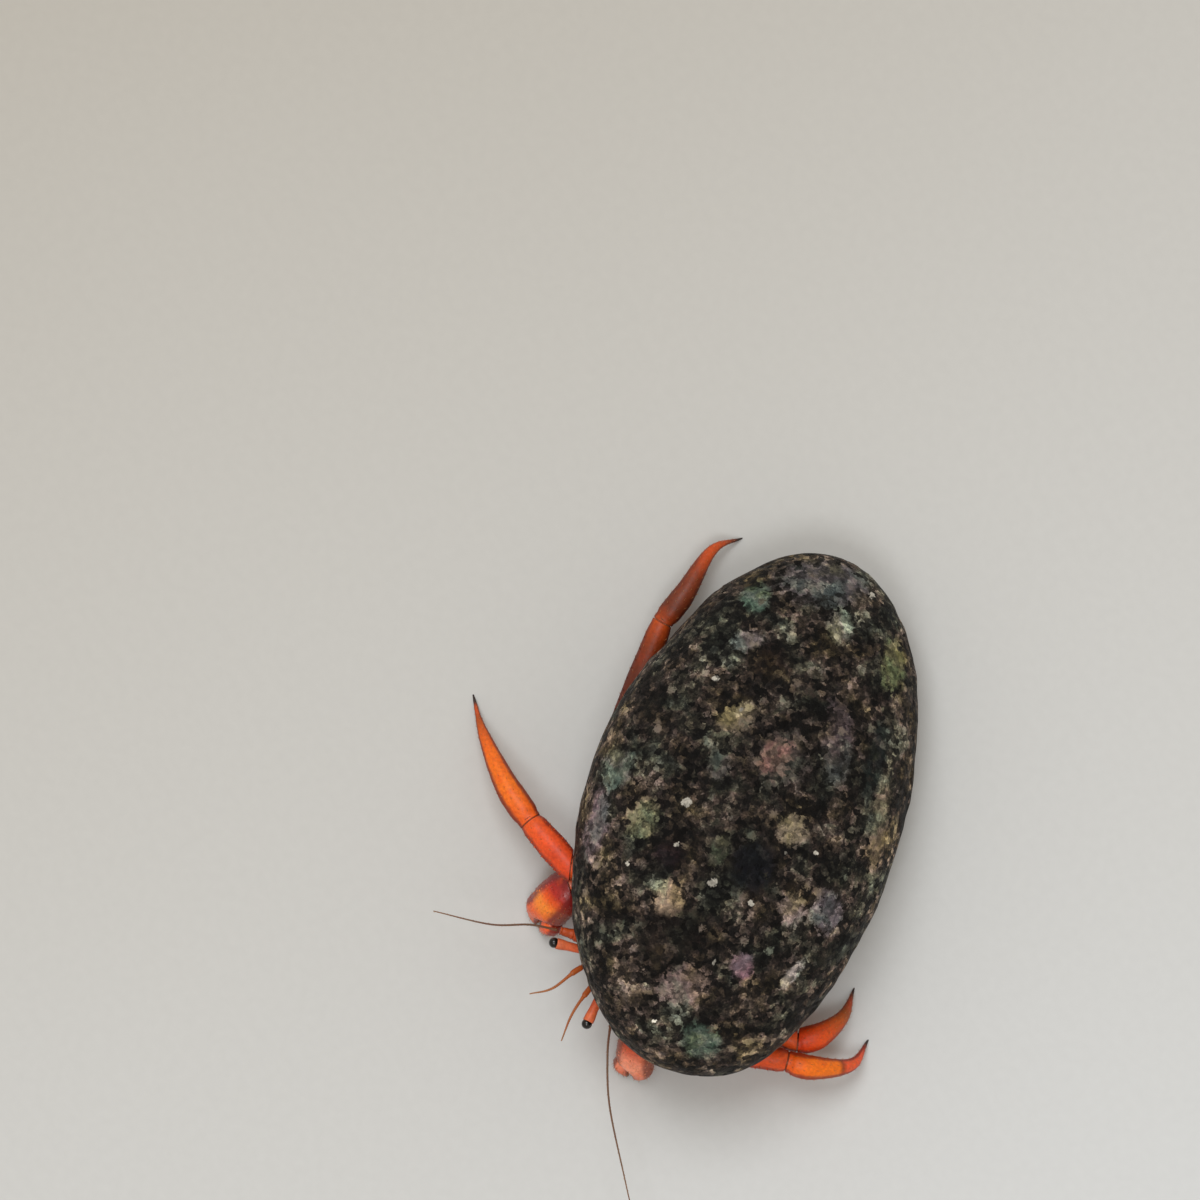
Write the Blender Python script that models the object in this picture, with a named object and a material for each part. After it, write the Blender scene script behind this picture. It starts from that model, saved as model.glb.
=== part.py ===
"""A life-size hermit crab that carries a hollowed pebble in place of a snail shell.

Each sub-part is one closed solid. Sizes are in millimetres up to the last step of each mesh,
which scales it to metres. While the pieces are made, x runs to the crab's left, y to its rear
and z up from the floor, from a point under the middle of the pebble; the last step moves
everything so that the origin is the middle of the footprint.
"""

import math

import bmesh
import bpy
from mathutils import Matrix, Vector

MM = 0.001
GAP = 0.24  # clear space between two hard pieces that meet at a joint

# The pebble: an egg-round stone, longer than wide, that leans back on its heel.
PEBBLE_LENGTH = 57.0
PEBBLE_WIDTH = 33.2
PEBBLE_ABOVE = 10.2  # from its widest level up to its crown
PEBBLE_BELOW = 8.8  # from its widest level down to its underside
PEBBLE_FULLNESS = 2.25  # 2 is an ellipsoid, more is squarer in section
PEBBLE_BEND = 1.1  # how far both ends turn to the crab's left of the middle
PEBBLE_WAVES = (  # bearing in degrees (0 at its rear end, 90 at the crab's left), change of reach, spread
    (306, -0.045, 14), (288, -0.012, 12), (330, -0.022, 14), (150, 0.014, 14), (178, -0.018, 22),
)
PEBBLE_YAW = math.radians(38.2)  # the long axis, turned from straight back to the crab's right
PEBBLE_PITCH = math.radians(9.0)  # the brow over the crab's head is raised
PEBBLE_CENTRE_Z = 9.56
PEBBLE_HEEL = 0.0  # level of the small flat that the pebble rests on

# The hollow in its underside, and the bore that runs from it for the soft abdomen.
HOLLOWS = {  # middle and half sizes: a low room for the legs and a taller one for the body
    "leg_room_cutter": (Vector((4.0, -14.8, 2.6)), Vector((21.6, 12.5, 7.25))),
    "body_room_cutter": (Vector((5.3, -14.5, 6.3)), Vector((7.6, 13.0, 4.6))),
}
HOLLOW_FULLNESS = 2.3
BORE_CLEARANCE = 0.5

MIDLINE = 5.3  # x of the crab's own plane of symmetry
SIDES = {"right": -1, "left": 1}

SHIELD_FRONT, SHIELD_BACK = -20.2, -12.9
THORAX_BACK = -5.6
SHIELD_HALF_WIDTH, THORAX_HALF_WIDTH = 3.45, 3.8
BODY_LEVEL, BODY_HALF_HEIGHT = 7.05, 2.3
STERNUM_LEVEL, STERNUM_HALF_WIDTH, STERNUM_HALF_HEIGHT = 3.75, 1.25, 0.6

ABDOMEN_ROUTE = (
    (5.2, -5.4, 6.75), (4.7, -3.2, 6.9), (1.9, 1.5, 7.4),
    (-3.2, 6.0, 7.7), (-8.0, 9.0, 7.3), (-12.2, 11.3, 6.8),
)
ABDOMEN_RADIUS = ((0.0, 3.0), (0.1, 3.25), (0.35, 3.05), (0.6, 2.6), (0.8, 2.15), (1.0, 1.6))
ABDOMEN_CUTS = {"abdomen_front": (0.0, 0.33), "abdomen_middle": (0.33, 0.6), "abdomen_rear": (0.6, 0.84)}

# Shapes along a segment: share of its length, then shares of its half width and half height.
BASE = ((0.0, 0.85, 0.85), (0.5, 1.0, 1.0), (1.0, 0.9, 0.9))
MERUS = ((0.0, 0.66, 0.66), (0.14, 0.84, 0.84), (0.5, 0.97, 1.0), (0.86, 1.0, 1.0), (1.0, 0.86, 0.86))
CARPUS = ((0.0, 0.66, 0.66), (0.25, 0.88, 0.88), (0.75, 1.0, 1.0), (1.0, 0.86, 0.86))
PROPODUS = ((0.0, 0.78, 0.76), (0.16, 0.97, 0.95), (0.5, 1.04, 1.0), (0.86, 0.95, 0.97), (1.0, 0.84, 0.84))
DACTYL = (
    (0.0, 0.86, 0.84), (0.1, 1.0, 1.0), (0.22, 0.99, 1.0), (0.34, 0.86, 0.9), (0.46, 0.74, 0.79),
    (0.57, 0.6, 0.66), (0.68, 0.48, 0.54), (0.8, 0.39, 0.43), (0.91, 0.27, 0.31), (1.0, 0.17, 0.2),
)

# Each leg: the joints from the body outwards, then what the dactyl passes on the way to its tip.
LEGS = {
    "front_leg_right": {
        "joints": ((3.6, -13.2, 3.7), (1.3, -13.2, 3.9), (-4.9, -14.0, 7.0), (-4.9, -18.5, 7.6), (-11.25, -19.45, 5.8)),
        "dactyl": ((-16.1, -19.5, 4.6), (-21.8, -18.65, 1.7), (-25.7, -17.4, 0.0)),
        "size": 1.0,
    },
    "rear_leg_right": {
        "joints": ((3.6, -9.8, 3.6), (1.5, -9.6, 3.7), (-7.0, -7.4, 4.4), (-13.7, -7.3, 3.1), (-21.3, 3.5, 4.1)),
        "dactyl": ((-22.5, 7.0, 4.3), (-24.75, 12.0, 2.6), (-24.1, 15.4, 0.0)),
        "size": 0.88,
    },
    "front_leg_left": {
        "joints": ((7.0, -13.2, 3.7), (9.3, -13.2, 3.9), (15.0, -14.8, 6.4), (18.9, -16.1, 6.4), (24.3, -10.6, 6.1)),
        "dactyl": ((26.3, -8.8, 5.9), (28.5, -5.2, 3.2), (27.55, -2.3, 0.0)),
        "size": 0.92,
    },
    "rear_leg_left": {
        "joints": ((7.0, -9.8, 3.6), (9.1, -9.6, 3.7), (14.4, -8.4, 4.8), (17.4, -12.3, 4.6), (23.3, -8.6, 5.0)),
        "dactyl": ((24.0, -6.2, 4.8), (23.8, -3.1, 2.7), (22.15, -0.55, 0.0)),
        "size": 0.88,
    },
}
LEG_SEGMENTS = (  # name, shape, half width, half height
    ("base", BASE, 1.0, 0.95),
    ("merus", MERUS, 1.2, 1.4),
    ("carpus", CARPUS, 1.2, 1.3),
    ("propodus", PROPODUS, 1.48, 1.28),
    ("dactyl", DACTYL, 1.4, 1.2),
)

# Each claw arm: its joints as far as the wrist, where the two fingers meet, and its sizes.
CLAWS = {
    "right": {
        "joints": ((3.8, -16.7, 3.5), (2.4, -17.0, 3.5), (-1.3, -17.2, 4.4), (-3.55, -19.3, 5.1)),
        "tip": (-1.5, -25.0, 0.1),
        "half_width": 2.3,
        "half_depth": 1.95,
        "fixed_finger_side": (-0.9, -0.2, -0.4),
    },
    "left": {
        "joints": ((6.8, -16.7, 3.5), (8.2, -17.0, 3.5), (11.2, -18.6, 4.6), (13.2, -21.5, 5.1)),
        "tip": (17.15, -25.4, 0.1),
        "half_width": 2.0,
        "half_depth": 1.75,
        "fixed_finger_side": (0.85, 0.5, 0.0),
    },
}
CLAW_SEGMENTS = (
    ("base", BASE, 1.0, 0.9),
    ("merus", MERUS, 1.3, 1.35),
    ("carpus", CARPUS, 1.55, 1.5),
)
CLAW_ARCH = 0.5  # how far the middle of a claw rises off the line from wrist to tip
# Along the claw from wrist to tip: share of length, middle's shift to the fixed finger's side as a
# share of the half width, then the shares of half width and half depth.
PALM = (
    (-0.2, 0.0, 0.6, 0.65), (0.0, 0.0, 0.78, 0.8), (0.14, 0.0, 0.93, 0.94), (0.3, 0.0, 1.0, 1.0),
    (0.44, 0.03, 0.96, 0.96), (0.54, 0.1, 0.86, 0.86), (0.6, 0.28, 0.66, 0.7), (0.68, 0.46, 0.46, 0.56),
    (0.8, 0.5, 0.39, 0.46), (0.9, 0.47, 0.32, 0.37), (0.97, 0.42, 0.22, 0.26), (1.0, 0.4, 0.12, 0.14),
)
FINGER = (
    (0.67, -0.5, 0.24, 0.38), (0.705, -0.52, 0.36, 0.48), (0.8, -0.5, 0.36, 0.46),
    (0.9, -0.44, 0.3, 0.36), (0.97, -0.38, 0.2, 0.24), (1.0, -0.36, 0.11, 0.13),
)

EYESTALKS = {  # base, end, middle of the cornea
    "right": ((4.3, -20.7, 8.5), (0.93, -23.78, 9.5), (0.46, -24.2, 9.62)),
    "left": ((6.3, -20.8, 8.5), (9.15, -25.4, 9.35), (9.48, -25.96, 9.45)),
}
EYESTALK_RADIUS, CORNEA_RADIUS = 0.5, 0.58
ANTENNULES = {
    "right": ((4.75, -20.6, 6.7), (4.25, -23.7, 8.4), (4.4, -26.9, 9.5), (3.6, -29.2, 9.3)),
    "left": ((5.85, -20.6, 6.7), (6.7, -24.0, 8.4), (7.8, -26.7, 9.5), (9.5, -29.1, 9.4)),
}
ANTENNULE_RADIUS = ((0.0, 0.42), (0.45, 0.36), (0.6, 0.3), (1.0, 0.25))
ANTENNA_BASES = {
    "right": ((2.7, -20.6, 6.8), (-0.1, -23.0, 7.4)),
    "left": ((7.9, -20.8, 6.8), (10.7, -23.7, 7.4)),
}
ANTENNA_BASE_SHAPE = ((0.0, 0.62, 0.62), (0.2, 0.78, 0.72), (0.55, 0.7, 0.66), (0.75, 0.5, 0.5), (1.0, 0.46, 0.46))
ANTENNAE = {
    "right": ((-0.35, -23.25, 7.5), (-2.4, -25.3, 8.4), (-4.7, -28.7, 9.2), (-9.1, -32.9, 9.6)),
    "left": ((10.95, -23.95, 7.5), (13.4, -25.9, 8.2), (17.95, -28.6, 9.0), (24.9, -31.3, 9.2), (28.4, -32.6, 8.8)),
}
ANTENNA_RADIUS = ((0.0, 0.34), (0.2, 0.29), (1.0, 0.25))
MAXILLIPED = ((-1.15, -18.4, 3.4), (-1.9, -20.5, 4.4), (-0.95, -22.5, 3.1))  # right one, x from the midline
MAXILLIPED_RADIUS = ((0.0, 0.6), (0.3, 0.75), (0.6, 0.6), (1.0, 0.32))
FOURTH_LEG = ((-2.3, -7.2, 3.7), (-4.7, -6.6, 4.8), (-5.4, -5.2, 5.6))
FOURTH_LEG_RADIUS = ((0.0, 0.55), (0.4, 0.7), (1.0, 0.42))
FIFTH_LEG = ((-4.3, -5.2, 6.4), (-4.75, -6.8, 7.3), (-4.5, -9.2, 8.0))
FIFTH_LEG_RADIUS = ((0.0, 0.4), (0.5, 0.45), (1.0, 0.3))

FINISHES = {  # colour, roughness
    "pebble": ((0.045, 0.04, 0.034, 1.0), 0.55),
    "shell": ((0.8, 0.16, 0.025, 1.0), 0.3),
    "claw": ((0.72, 0.09, 0.02, 1.0), 0.28),
    "flesh": ((0.72, 0.3, 0.19, 1.0), 0.45),
    "cornea": ((0.006, 0.006, 0.006, 1.0), 0.08),
}


def finish(name):
    """The material of that name, made the first time it is asked for."""
    known = bpy.data.materials.get(name)
    if known:
        return known
    colour, roughness = FINISHES[name]
    material = bpy.data.materials.new(name)
    material.use_nodes = True
    shader = material.node_tree.nodes["Principled BSDF"]
    shader.inputs["Base Color"].default_value = colour
    shader.inputs["Roughness"].default_value = roughness
    return material


def add_object(name, mesh_data, finish_name):
    """Turn millimetres to metres and put the mesh in the scene as a smooth-shaded object."""
    bmesh.ops.scale(mesh_data, vec=(MM, MM, MM), verts=mesh_data.verts)
    bmesh.ops.recalc_face_normals(mesh_data, faces=mesh_data.faces)
    mesh = bpy.data.meshes.new(name)
    mesh_data.to_mesh(mesh)
    mesh_data.free()
    mesh.shade_smooth()
    mesh.materials.append(finish(finish_name))
    obj = bpy.data.objects.new(name, mesh)
    bpy.context.scene.collection.objects.link(obj)
    return obj


def smooth_route(points):
    """A function from a share of its length to the point and direction of a smooth curve.

    The curve passes through all the points (Catmull-Rom) and goes on straight past its ends.
    """
    knots = [Vector(p) for p in points]
    knots = [2 * knots[0] - knots[1], *knots, 2 * knots[-1] - knots[-2]]
    track = [knots[1]]
    for a, b, c, d in zip(knots, knots[1:], knots[2:], knots[3:]):
        slope_in, slope_out = (c - a) / 2, (d - b) / 2
        for step in range(1, 13):
            t = step / 12
            track.append(
                (2 * t**3 - 3 * t**2 + 1) * b + (t**3 - 2 * t**2 + t) * slope_in
                + (3 * t**2 - 2 * t**3) * c + (t**3 - t**2) * slope_out
            )
    lengths = [0.0]
    for before, after in zip(track, track[1:]):
        lengths.append(lengths[-1] + (after - before).length)

    def place(share):
        length = share * lengths[-1]
        span = next((n for n, reached in enumerate(lengths[1:-1]) if reached >= length), len(track) - 2)
        part = (length - lengths[span]) / (lengths[span + 1] - lengths[span])
        return track[span] + (track[span + 1] - track[span]) * part

    def at(share):
        return place(share), (place(share + 0.02) - place(share - 0.02)).normalized()

    return at


def between(table, share):
    """The values of the table's rows at that share, blended straight from row to row."""
    for before, after in zip(table, table[1:]):
        if share <= after[0]:
            part = (share - before[0]) / (after[0] - before[0])
            return [a + (b - a) * part for a, b in zip(before[1:], after[1:])]
    return list(table[-1][1:])


def ring_place(point, along, side, half_width, half_height):
    """The matrix that lays a unit ring across a segment, its x towards side."""
    across = (side - along * side.dot(along)).normalized()
    upward = along.cross(across)
    place = Matrix.Identity(4)
    for column, axis in enumerate((across * half_width, upward * half_height, along, point)):
        place.col[column].xyz = axis
    return place


def sweep(places, sides):
    """A closed skin over rings: the rim of the first ring is extruded from each place to the next."""
    skin = bmesh.new()
    bmesh.ops.create_circle(skin, cap_ends=True, segments=sides, radius=1.0, matrix=places[0])
    rim = skin.edges[:]
    for before, after in zip(places, places[1:]):
        grown = bmesh.ops.extrude_edge_only(skin, edges=rim)["geom"]
        corners = [g for g in grown if isinstance(g, bmesh.types.BMVert)]
        rim = [g for g in grown if isinstance(g, bmesh.types.BMEdge) and all(v in corners for v in g.verts)]
        bmesh.ops.transform(skin, matrix=after @ before.inverted(), verts=corners)
    bmesh.ops.contextual_create(skin, geom=rim)
    bmesh.ops.recalc_face_normals(skin, faces=skin.faces)
    return skin


def trim(skin, point, outward):
    """Cut away what lies past a plane, and close the cut with a flat face."""
    everything = skin.verts[:] + skin.edges[:] + skin.faces[:]
    cut = bmesh.ops.bisect_plane(skin, geom=everything, plane_co=point, plane_no=outward, clear_outer=True)
    rim = [g for g in cut["geom_cut"] if isinstance(g, bmesh.types.BMEdge)]
    if rim:
        bmesh.ops.contextual_create(skin, geom=rim)


def feeler(name, route, radii, finish_name, sides=8, steps=10, flat=1.0):
    """A round, tapering limb or feeler along a smooth route."""
    at = smooth_route(route)
    side = (Vector(route[-1]) - Vector(route[0])).cross(Vector((0, 0, 1))).normalized()
    places = []
    for step in range(steps + 1):
        share = step / steps
        (radius,) = between(radii, share)
        places.append(ring_place(*at(share), side, radius, radius * flat))
    return add_object(name, sweep(places, sides), finish_name)


def segment(name, at, shape, half_width, half_height, ends, finish_name, sides=10):
    """One hard limb segment, trimmed at both ends to the planes of its joints.

    ends holds, for the near and the far joint, the point, the plane's normal along the limb
    and how far the segment first runs past the joint so that the trimmed end is whole.
    """
    start, finish_point = at(0.0)[0], at(1.0)[0]
    length = (finish_point - start).length
    side = (finish_point - start).cross(Vector((0, 0, 1))).normalized()
    (near, near_normal, near_run), (far, far_normal, far_run) = ends
    places = []
    for share, width, height in shape:
        spread = -near_run / length + share * (1 + (near_run + far_run) / length)
        places.append(ring_place(*at(spread), side, width * half_width, height * half_height))
    skin = sweep(places, sides)
    if near_normal:
        trim(skin, near + near_normal * GAP / 2, -near_normal)
    if far_normal:
        trim(skin, far - far_normal * GAP / 2, far_normal)
    trim(skin, Vector((0, 0, 0)), Vector((0, 0, -1)))
    return add_object(name, skin, finish_name)


def joint_plane(point, inward, onward, size):
    """The plane that halves the bend at a joint, and how far each segment runs past the joint."""
    half_bend = inward.angle(onward) / 2
    return point, (inward + onward).normalized(), min(math.tan(half_bend), 1.2) * size


def limb(name, joints, segments, size, last_route, onward, finish_name):
    """A jointed limb: one solid for each segment, meeting at planes that halve each bend.

    last_route is what the last segment passes after its joint, or None if it is straight;
    onward is the direction of whatever follows the limb, or None if it ends in a tip.
    """
    points = [Vector(j) for j in joints]
    routes = [smooth_route(pair) for pair in zip(points, points[1:])]
    if last_route:
        routes.append(smooth_route((points[-1], *last_route)))
    planes = [(points[0], None, 0.0)]
    for into, out_of in zip(routes, routes[1:]):
        point, direction = into(1.0)
        planes.append(joint_plane(point, direction, out_of(0.0)[1], size))
    end, direction = routes[-1](1.0)
    planes.append(joint_plane(end, direction, onward, size) if onward else (end, None, 0.0))
    for number, (segment_name, shape, half_width, half_height) in enumerate(segments):
        segment(
            f"{name}_{segment_name}", routes[number], shape, half_width * size, half_height * size,
            planes[number : number + 2], finish_name,
        )


def build_legs():
    """The four walking legs, each standing on the tip of its dactyl."""
    for name, leg in LEGS.items():
        limb(name, leg["joints"], LEG_SEGMENTS, leg["size"], leg["dactyl"], None, "shell")


def claw_piece(name, wrist, plane_normal, claw, shape):
    """The palm with its fixed finger, or the movable finger, swept from the wrist to the tip."""
    tip = Vector(claw["tip"])
    along = (tip - wrist).normalized()
    side = Vector(claw["fixed_finger_side"])
    across = (side - along * side.dot(along)).normalized()
    outside = along.cross(across)
    if outside.z < 0:
        outside.negate()
    places = []
    for share, shift, width, depth in shape:
        arch = outside * CLAW_ARCH * 4 * share * (1 - share)
        middle = wrist.lerp(tip, share) + across * shift * claw["half_width"] + arch
        places.append(ring_place(middle, along, across, width * claw["half_width"], depth * claw["half_depth"]))
    skin = sweep(places, 12)
    trim(skin, wrist + plane_normal * GAP / 2, -plane_normal)
    trim(skin, Vector((0, 0, 0)), Vector((0, 0, -1)))
    return add_object(name, skin, "claw")


def build_claws():
    """Both claw arms, with the tips of their fingers on the floor."""
    for side_name, claw in CLAWS.items():
        elbow, wrist = (Vector(j) for j in claw["joints"][-2:])
        onward = (Vector(claw["tip"]) - wrist).normalized()
        limb(f"claw_{side_name}", claw["joints"], CLAW_SEGMENTS, 1.0, None, onward, "claw")
        normal = ((wrist - elbow).normalized() + onward).normalized()
        claw_piece(f"claw_{side_name}_palm", wrist, normal, claw, PALM)
        claw_piece(f"claw_{side_name}_finger", wrist, normal, claw, FINGER)


def body_piece(name, stations, sides, finish_name):
    """A piece of the body, swept along y through (y, level, half width, half height) stations."""
    places = [
        ring_place(Vector((MIDLINE, y, level)), Vector((0, 1, 0)), Vector((1, 0, 0)), half_width, half_height)
        for y, level, half_width, half_height in stations
    ]
    return add_object(name, sweep(places, sides), finish_name)


def build_body():
    """The hard shield, the softer carapace behind it, and the sternum between the legs."""
    width, height = SHIELD_HALF_WIDTH, BODY_HALF_HEIGHT
    body_piece("head_shield", (
        (SHIELD_FRONT, BODY_LEVEL + 0.15, width * 0.42, height * 0.5),
        (SHIELD_FRONT + 0.5, BODY_LEVEL + 0.1, width * 0.66, height * 0.74),
        (SHIELD_FRONT + 1.6, BODY_LEVEL, width * 0.88, height * 0.93),
        (SHIELD_FRONT + 3.6, BODY_LEVEL, width, height),
        (SHIELD_BACK - 0.8, BODY_LEVEL, width * 0.98, height * 0.98),
        (SHIELD_BACK, BODY_LEVEL, width * 0.9, height * 0.9),
    ), 16, "shell")
    width = THORAX_HALF_WIDTH
    front = SHIELD_BACK + GAP
    body_piece("thorax", (
        (front, BODY_LEVEL, width * 0.84, height * 0.88),
        (front + 0.9, BODY_LEVEL, width * 0.97, height * 0.98),
        (front + 3.2, BODY_LEVEL, width, height),
        (THORAX_BACK - 1.5, BODY_LEVEL - 0.1, width * 0.9, height * 0.98),
        (THORAX_BACK - 0.3, BODY_LEVEL - 0.2, width * 0.76, height * 0.9),
        (THORAX_BACK, BODY_LEVEL - 0.25, width * 0.66, height * 0.8),
    ), 16, "flesh")
    width, height = STERNUM_HALF_WIDTH, STERNUM_HALF_HEIGHT
    body_piece("sternum", (
        (-17.6, STERNUM_LEVEL, width * 0.55, height * 0.6),
        (-16.9, STERNUM_LEVEL, width * 0.8, height),
        (-12.5, STERNUM_LEVEL, width, height),
        (-8.6, STERNUM_LEVEL, width * 0.95, height),
        (-7.9, STERNUM_LEVEL, width * 0.6, height * 0.6),
    ), 12, "shell")


def build_abdomen():
    """The soft abdomen in its lengths, coiling to the crab's right inside the bore, and the tail fan."""
    at = smooth_route(ABDOMEN_ROUTE)
    side = Vector((1, 0, 0))
    for name, (start, end) in ABDOMEN_CUTS.items():
        places = []
        for step in range(5):
            share = start + (end - start) * step / 4
            (radius,) = between(ABDOMEN_RADIUS, share)
            places.append(ring_place(*at(share), side, radius, radius))
        skin = sweep(places, 14)
        trim(skin, at(start)[0] + at(start)[1] * GAP / 2, -at(start)[1])
        trim(skin, at(end)[0] - at(end)[1] * GAP / 2, at(end)[1])
        trim(skin, Vector((0, THORAX_BACK + GAP, 0)), Vector((0, -1, 0)))
        add_object(name, skin, "flesh")
    places = []
    for share, width, height in ((0.855, 1.3, 1.3), (0.88, 1.75, 1.5), (0.93, 1.8, 1.2), (0.97, 1.5, 0.8), (1.0, 0.9, 0.4)):
        places.append(ring_place(*at(share), side, width, height))
    add_object("tail_fan", sweep(places, 12), "shell")


def mirrored(route, side):
    """The right-hand route, measured from the midline, on the side that is asked for."""
    return [(MIDLINE - SIDES[side] * x, y, z) for x, y, z in route]


def build_head():
    """Eyes on their stalks, antennules, antennae on their bases, and the outer mouthparts."""
    for side in SIDES:
        base, end, cornea = EYESTALKS[side]
        stalk_radius = ((0.0, EYESTALK_RADIUS * 1.15), (0.4, EYESTALK_RADIUS * 0.9), (1.0, EYESTALK_RADIUS))
        feeler(f"eyestalk_{side}", (base, end), stalk_radius, "shell", sides=10, steps=4)
        eye = bmesh.new()
        bmesh.ops.create_icosphere(eye, subdivisions=2, radius=CORNEA_RADIUS, matrix=Matrix.Translation(cornea))
        outward = (Vector(end) - Vector(base)).normalized()
        trim(eye, Vector(end) + outward * GAP * 0.7, -outward)
        add_object(f"eye_{side}", eye, "cornea")
        feeler(f"antennule_{side}", ANTENNULES[side], ANTENNULE_RADIUS, "shell")
        start, finish_point = (Vector(p) for p in ANTENNA_BASES[side])
        segment(
            f"antenna_base_{side}", smooth_route((start, finish_point)), ANTENNA_BASE_SHAPE, 1.0, 1.0,
            ((start, None, 0.0), (finish_point, None, 0.0)), "shell",
        )
        feeler(f"antenna_{side}", ANTENNAE[side], ANTENNA_RADIUS, "shell", sides=6, steps=16)
        feeler(f"maxilliped_{side}", mirrored(MAXILLIPED, side), MAXILLIPED_RADIUS, "shell")
        feeler(f"fourth_leg_{side}", mirrored(FOURTH_LEG, side), FOURTH_LEG_RADIUS, "shell", steps=8)
        feeler(f"fifth_leg_{side}", mirrored(FIFTH_LEG, side), FIFTH_LEG_RADIUS, "shell", steps=8)


def pebble_point(direction):
    """Where the pebble's surface lies in that direction from its middle, before it is turned."""
    flat = math.hypot(direction.x, direction.y)
    reach = (flat**PEBBLE_FULLNESS + abs(direction.z) ** PEBBLE_FULLNESS) ** (-1 / PEBBLE_FULLNESS)
    x, y, z = direction * reach
    bearing = math.degrees(math.atan2(x, y))
    wave = 1.0
    for centre, change, spread in PEBBLE_WAVES:
        away = (bearing - centre + 180) % 360 - 180
        wave += change * math.exp(-((away / spread) ** 2)) * flat**2
    height = PEBBLE_ABOVE if z > 0 else PEBBLE_BELOW
    height *= 1 + 0.02 * math.sin(3.1 * y + 0.6) * math.cos(2.3 * x - 0.8)
    across = x * wave * PEBBLE_WIDTH / 2 + PEBBLE_BEND * (y * y - 0.33)
    return Vector((across, y * wave * PEBBLE_LENGTH / 2, z * height))


def cutter(name, mesh_data):
    """A helper solid that is cut out of the pebble and isn't part of the object."""
    obj = add_object(name, mesh_data, "pebble")
    obj.hide_render = True
    obj.display_type = "WIRE"
    return obj


def build_pebble():
    """The pebble with its hollow, its bore and the heel that it rests on."""
    stone = bmesh.new()
    bmesh.ops.create_icosphere(stone, subdivisions=4, radius=1.0)
    for corner in stone.verts:
        corner.co = pebble_point(corner.co.normalized())
    turn = Matrix.Rotation(-PEBBLE_PITCH, 4, "X") @ Matrix.Rotation(PEBBLE_YAW, 4, "Z")
    bmesh.ops.transform(stone, matrix=Matrix.Translation((0, 0, PEBBLE_CENTRE_Z)) @ turn, verts=stone.verts)
    trim(stone, Vector((0, 0, PEBBLE_HEEL)), Vector((0, 0, -1)))
    pebble = add_object("pebble_shell", stone, "pebble")

    cutters = {}
    for name, (middle, half) in HOLLOWS.items():
        room = bmesh.new()
        bmesh.ops.create_icosphere(room, subdivisions=3, radius=1.0)
        for corner in room.verts:
            reach = sum(abs(c) ** HOLLOW_FULLNESS for c in corner.co) ** (-1 / HOLLOW_FULLNESS)
            corner.co = middle + half * (corner.co * reach)
        cutters[name] = room
    at = smooth_route(ABDOMEN_ROUTE)
    places = []
    for step in range(-1, 10):
        share = step / 8
        (radius,) = between(ABDOMEN_RADIUS, min(max(share, 0.0), 1.0))
        places.append(ring_place(*at(share), Vector((1, 0, 0)), radius + BORE_CLEARANCE, radius + BORE_CLEARANCE))
    cutters["bore_cutter"] = sweep(places, 16)
    for name, mesh_data in cutters.items():
        cut = pebble.modifiers.new(name, "BOOLEAN")
        cut.operation = "DIFFERENCE"
        cut.solver = "EXACT"
        cut.object = cutter(name, mesh_data)


def centre_on_footprint():
    """Move every piece so that the origin is under the middle of the object, at floor level."""
    bpy.context.view_layer.update()
    graph = bpy.context.evaluated_depsgraph_get()
    shown = [o for o in bpy.context.scene.objects if not o.hide_render]
    corners = [Vector(c) for o in shown for c in o.evaluated_get(graph).bound_box]
    low = [min(c[axis] for c in corners) for axis in range(3)]
    high = [max(c[axis] for c in corners) for axis in range(3)]
    shift = Vector((-(low[0] + high[0]) / 2, -(low[1] + high[1]) / 2, -low[2]))
    for obj in bpy.context.scene.objects:
        obj.location = shift


def main():
    for obj in list(bpy.data.objects):
        bpy.data.objects.remove(obj)
    build_pebble()
    build_body()
    build_abdomen()
    build_head()
    build_claws()
    build_legs()
    centre_on_footprint()


main()
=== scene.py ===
"""The looks of a life-size hermit crab that carries a hollowed pebble in place of a snail shell.

Sizes are in millimetres until the last step of each mesh, which turns them to metres. While a
piece is made, x runs to the crab's left, y to its rear and z up from the floor, from the point
that the frame's solids were drawn from; BUILD_SHIFT then moves it to the frame's own origin.
"""

import logging
import math
import random
from collections.abc import Callable, Iterable, Sequence
from dataclasses import dataclass
from enum import Enum
from functools import partial
from typing import NamedTuple

import bmesh
import bpy
from mathutils import Euler, Matrix, Vector, noise


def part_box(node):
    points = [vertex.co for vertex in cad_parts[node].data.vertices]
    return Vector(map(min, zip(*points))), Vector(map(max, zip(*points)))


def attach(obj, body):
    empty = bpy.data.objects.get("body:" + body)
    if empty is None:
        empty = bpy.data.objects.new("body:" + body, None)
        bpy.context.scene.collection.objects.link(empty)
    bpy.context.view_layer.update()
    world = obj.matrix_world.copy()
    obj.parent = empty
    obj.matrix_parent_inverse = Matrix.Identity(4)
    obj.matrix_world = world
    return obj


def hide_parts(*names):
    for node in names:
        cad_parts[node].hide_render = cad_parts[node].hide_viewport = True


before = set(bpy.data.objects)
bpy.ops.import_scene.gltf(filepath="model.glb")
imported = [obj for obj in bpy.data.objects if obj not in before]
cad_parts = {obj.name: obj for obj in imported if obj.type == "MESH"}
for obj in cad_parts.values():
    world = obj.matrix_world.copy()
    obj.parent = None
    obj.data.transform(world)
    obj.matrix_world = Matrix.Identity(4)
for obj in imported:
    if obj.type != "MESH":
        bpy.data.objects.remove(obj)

log = logging.getLogger("hermit_crab")

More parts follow.
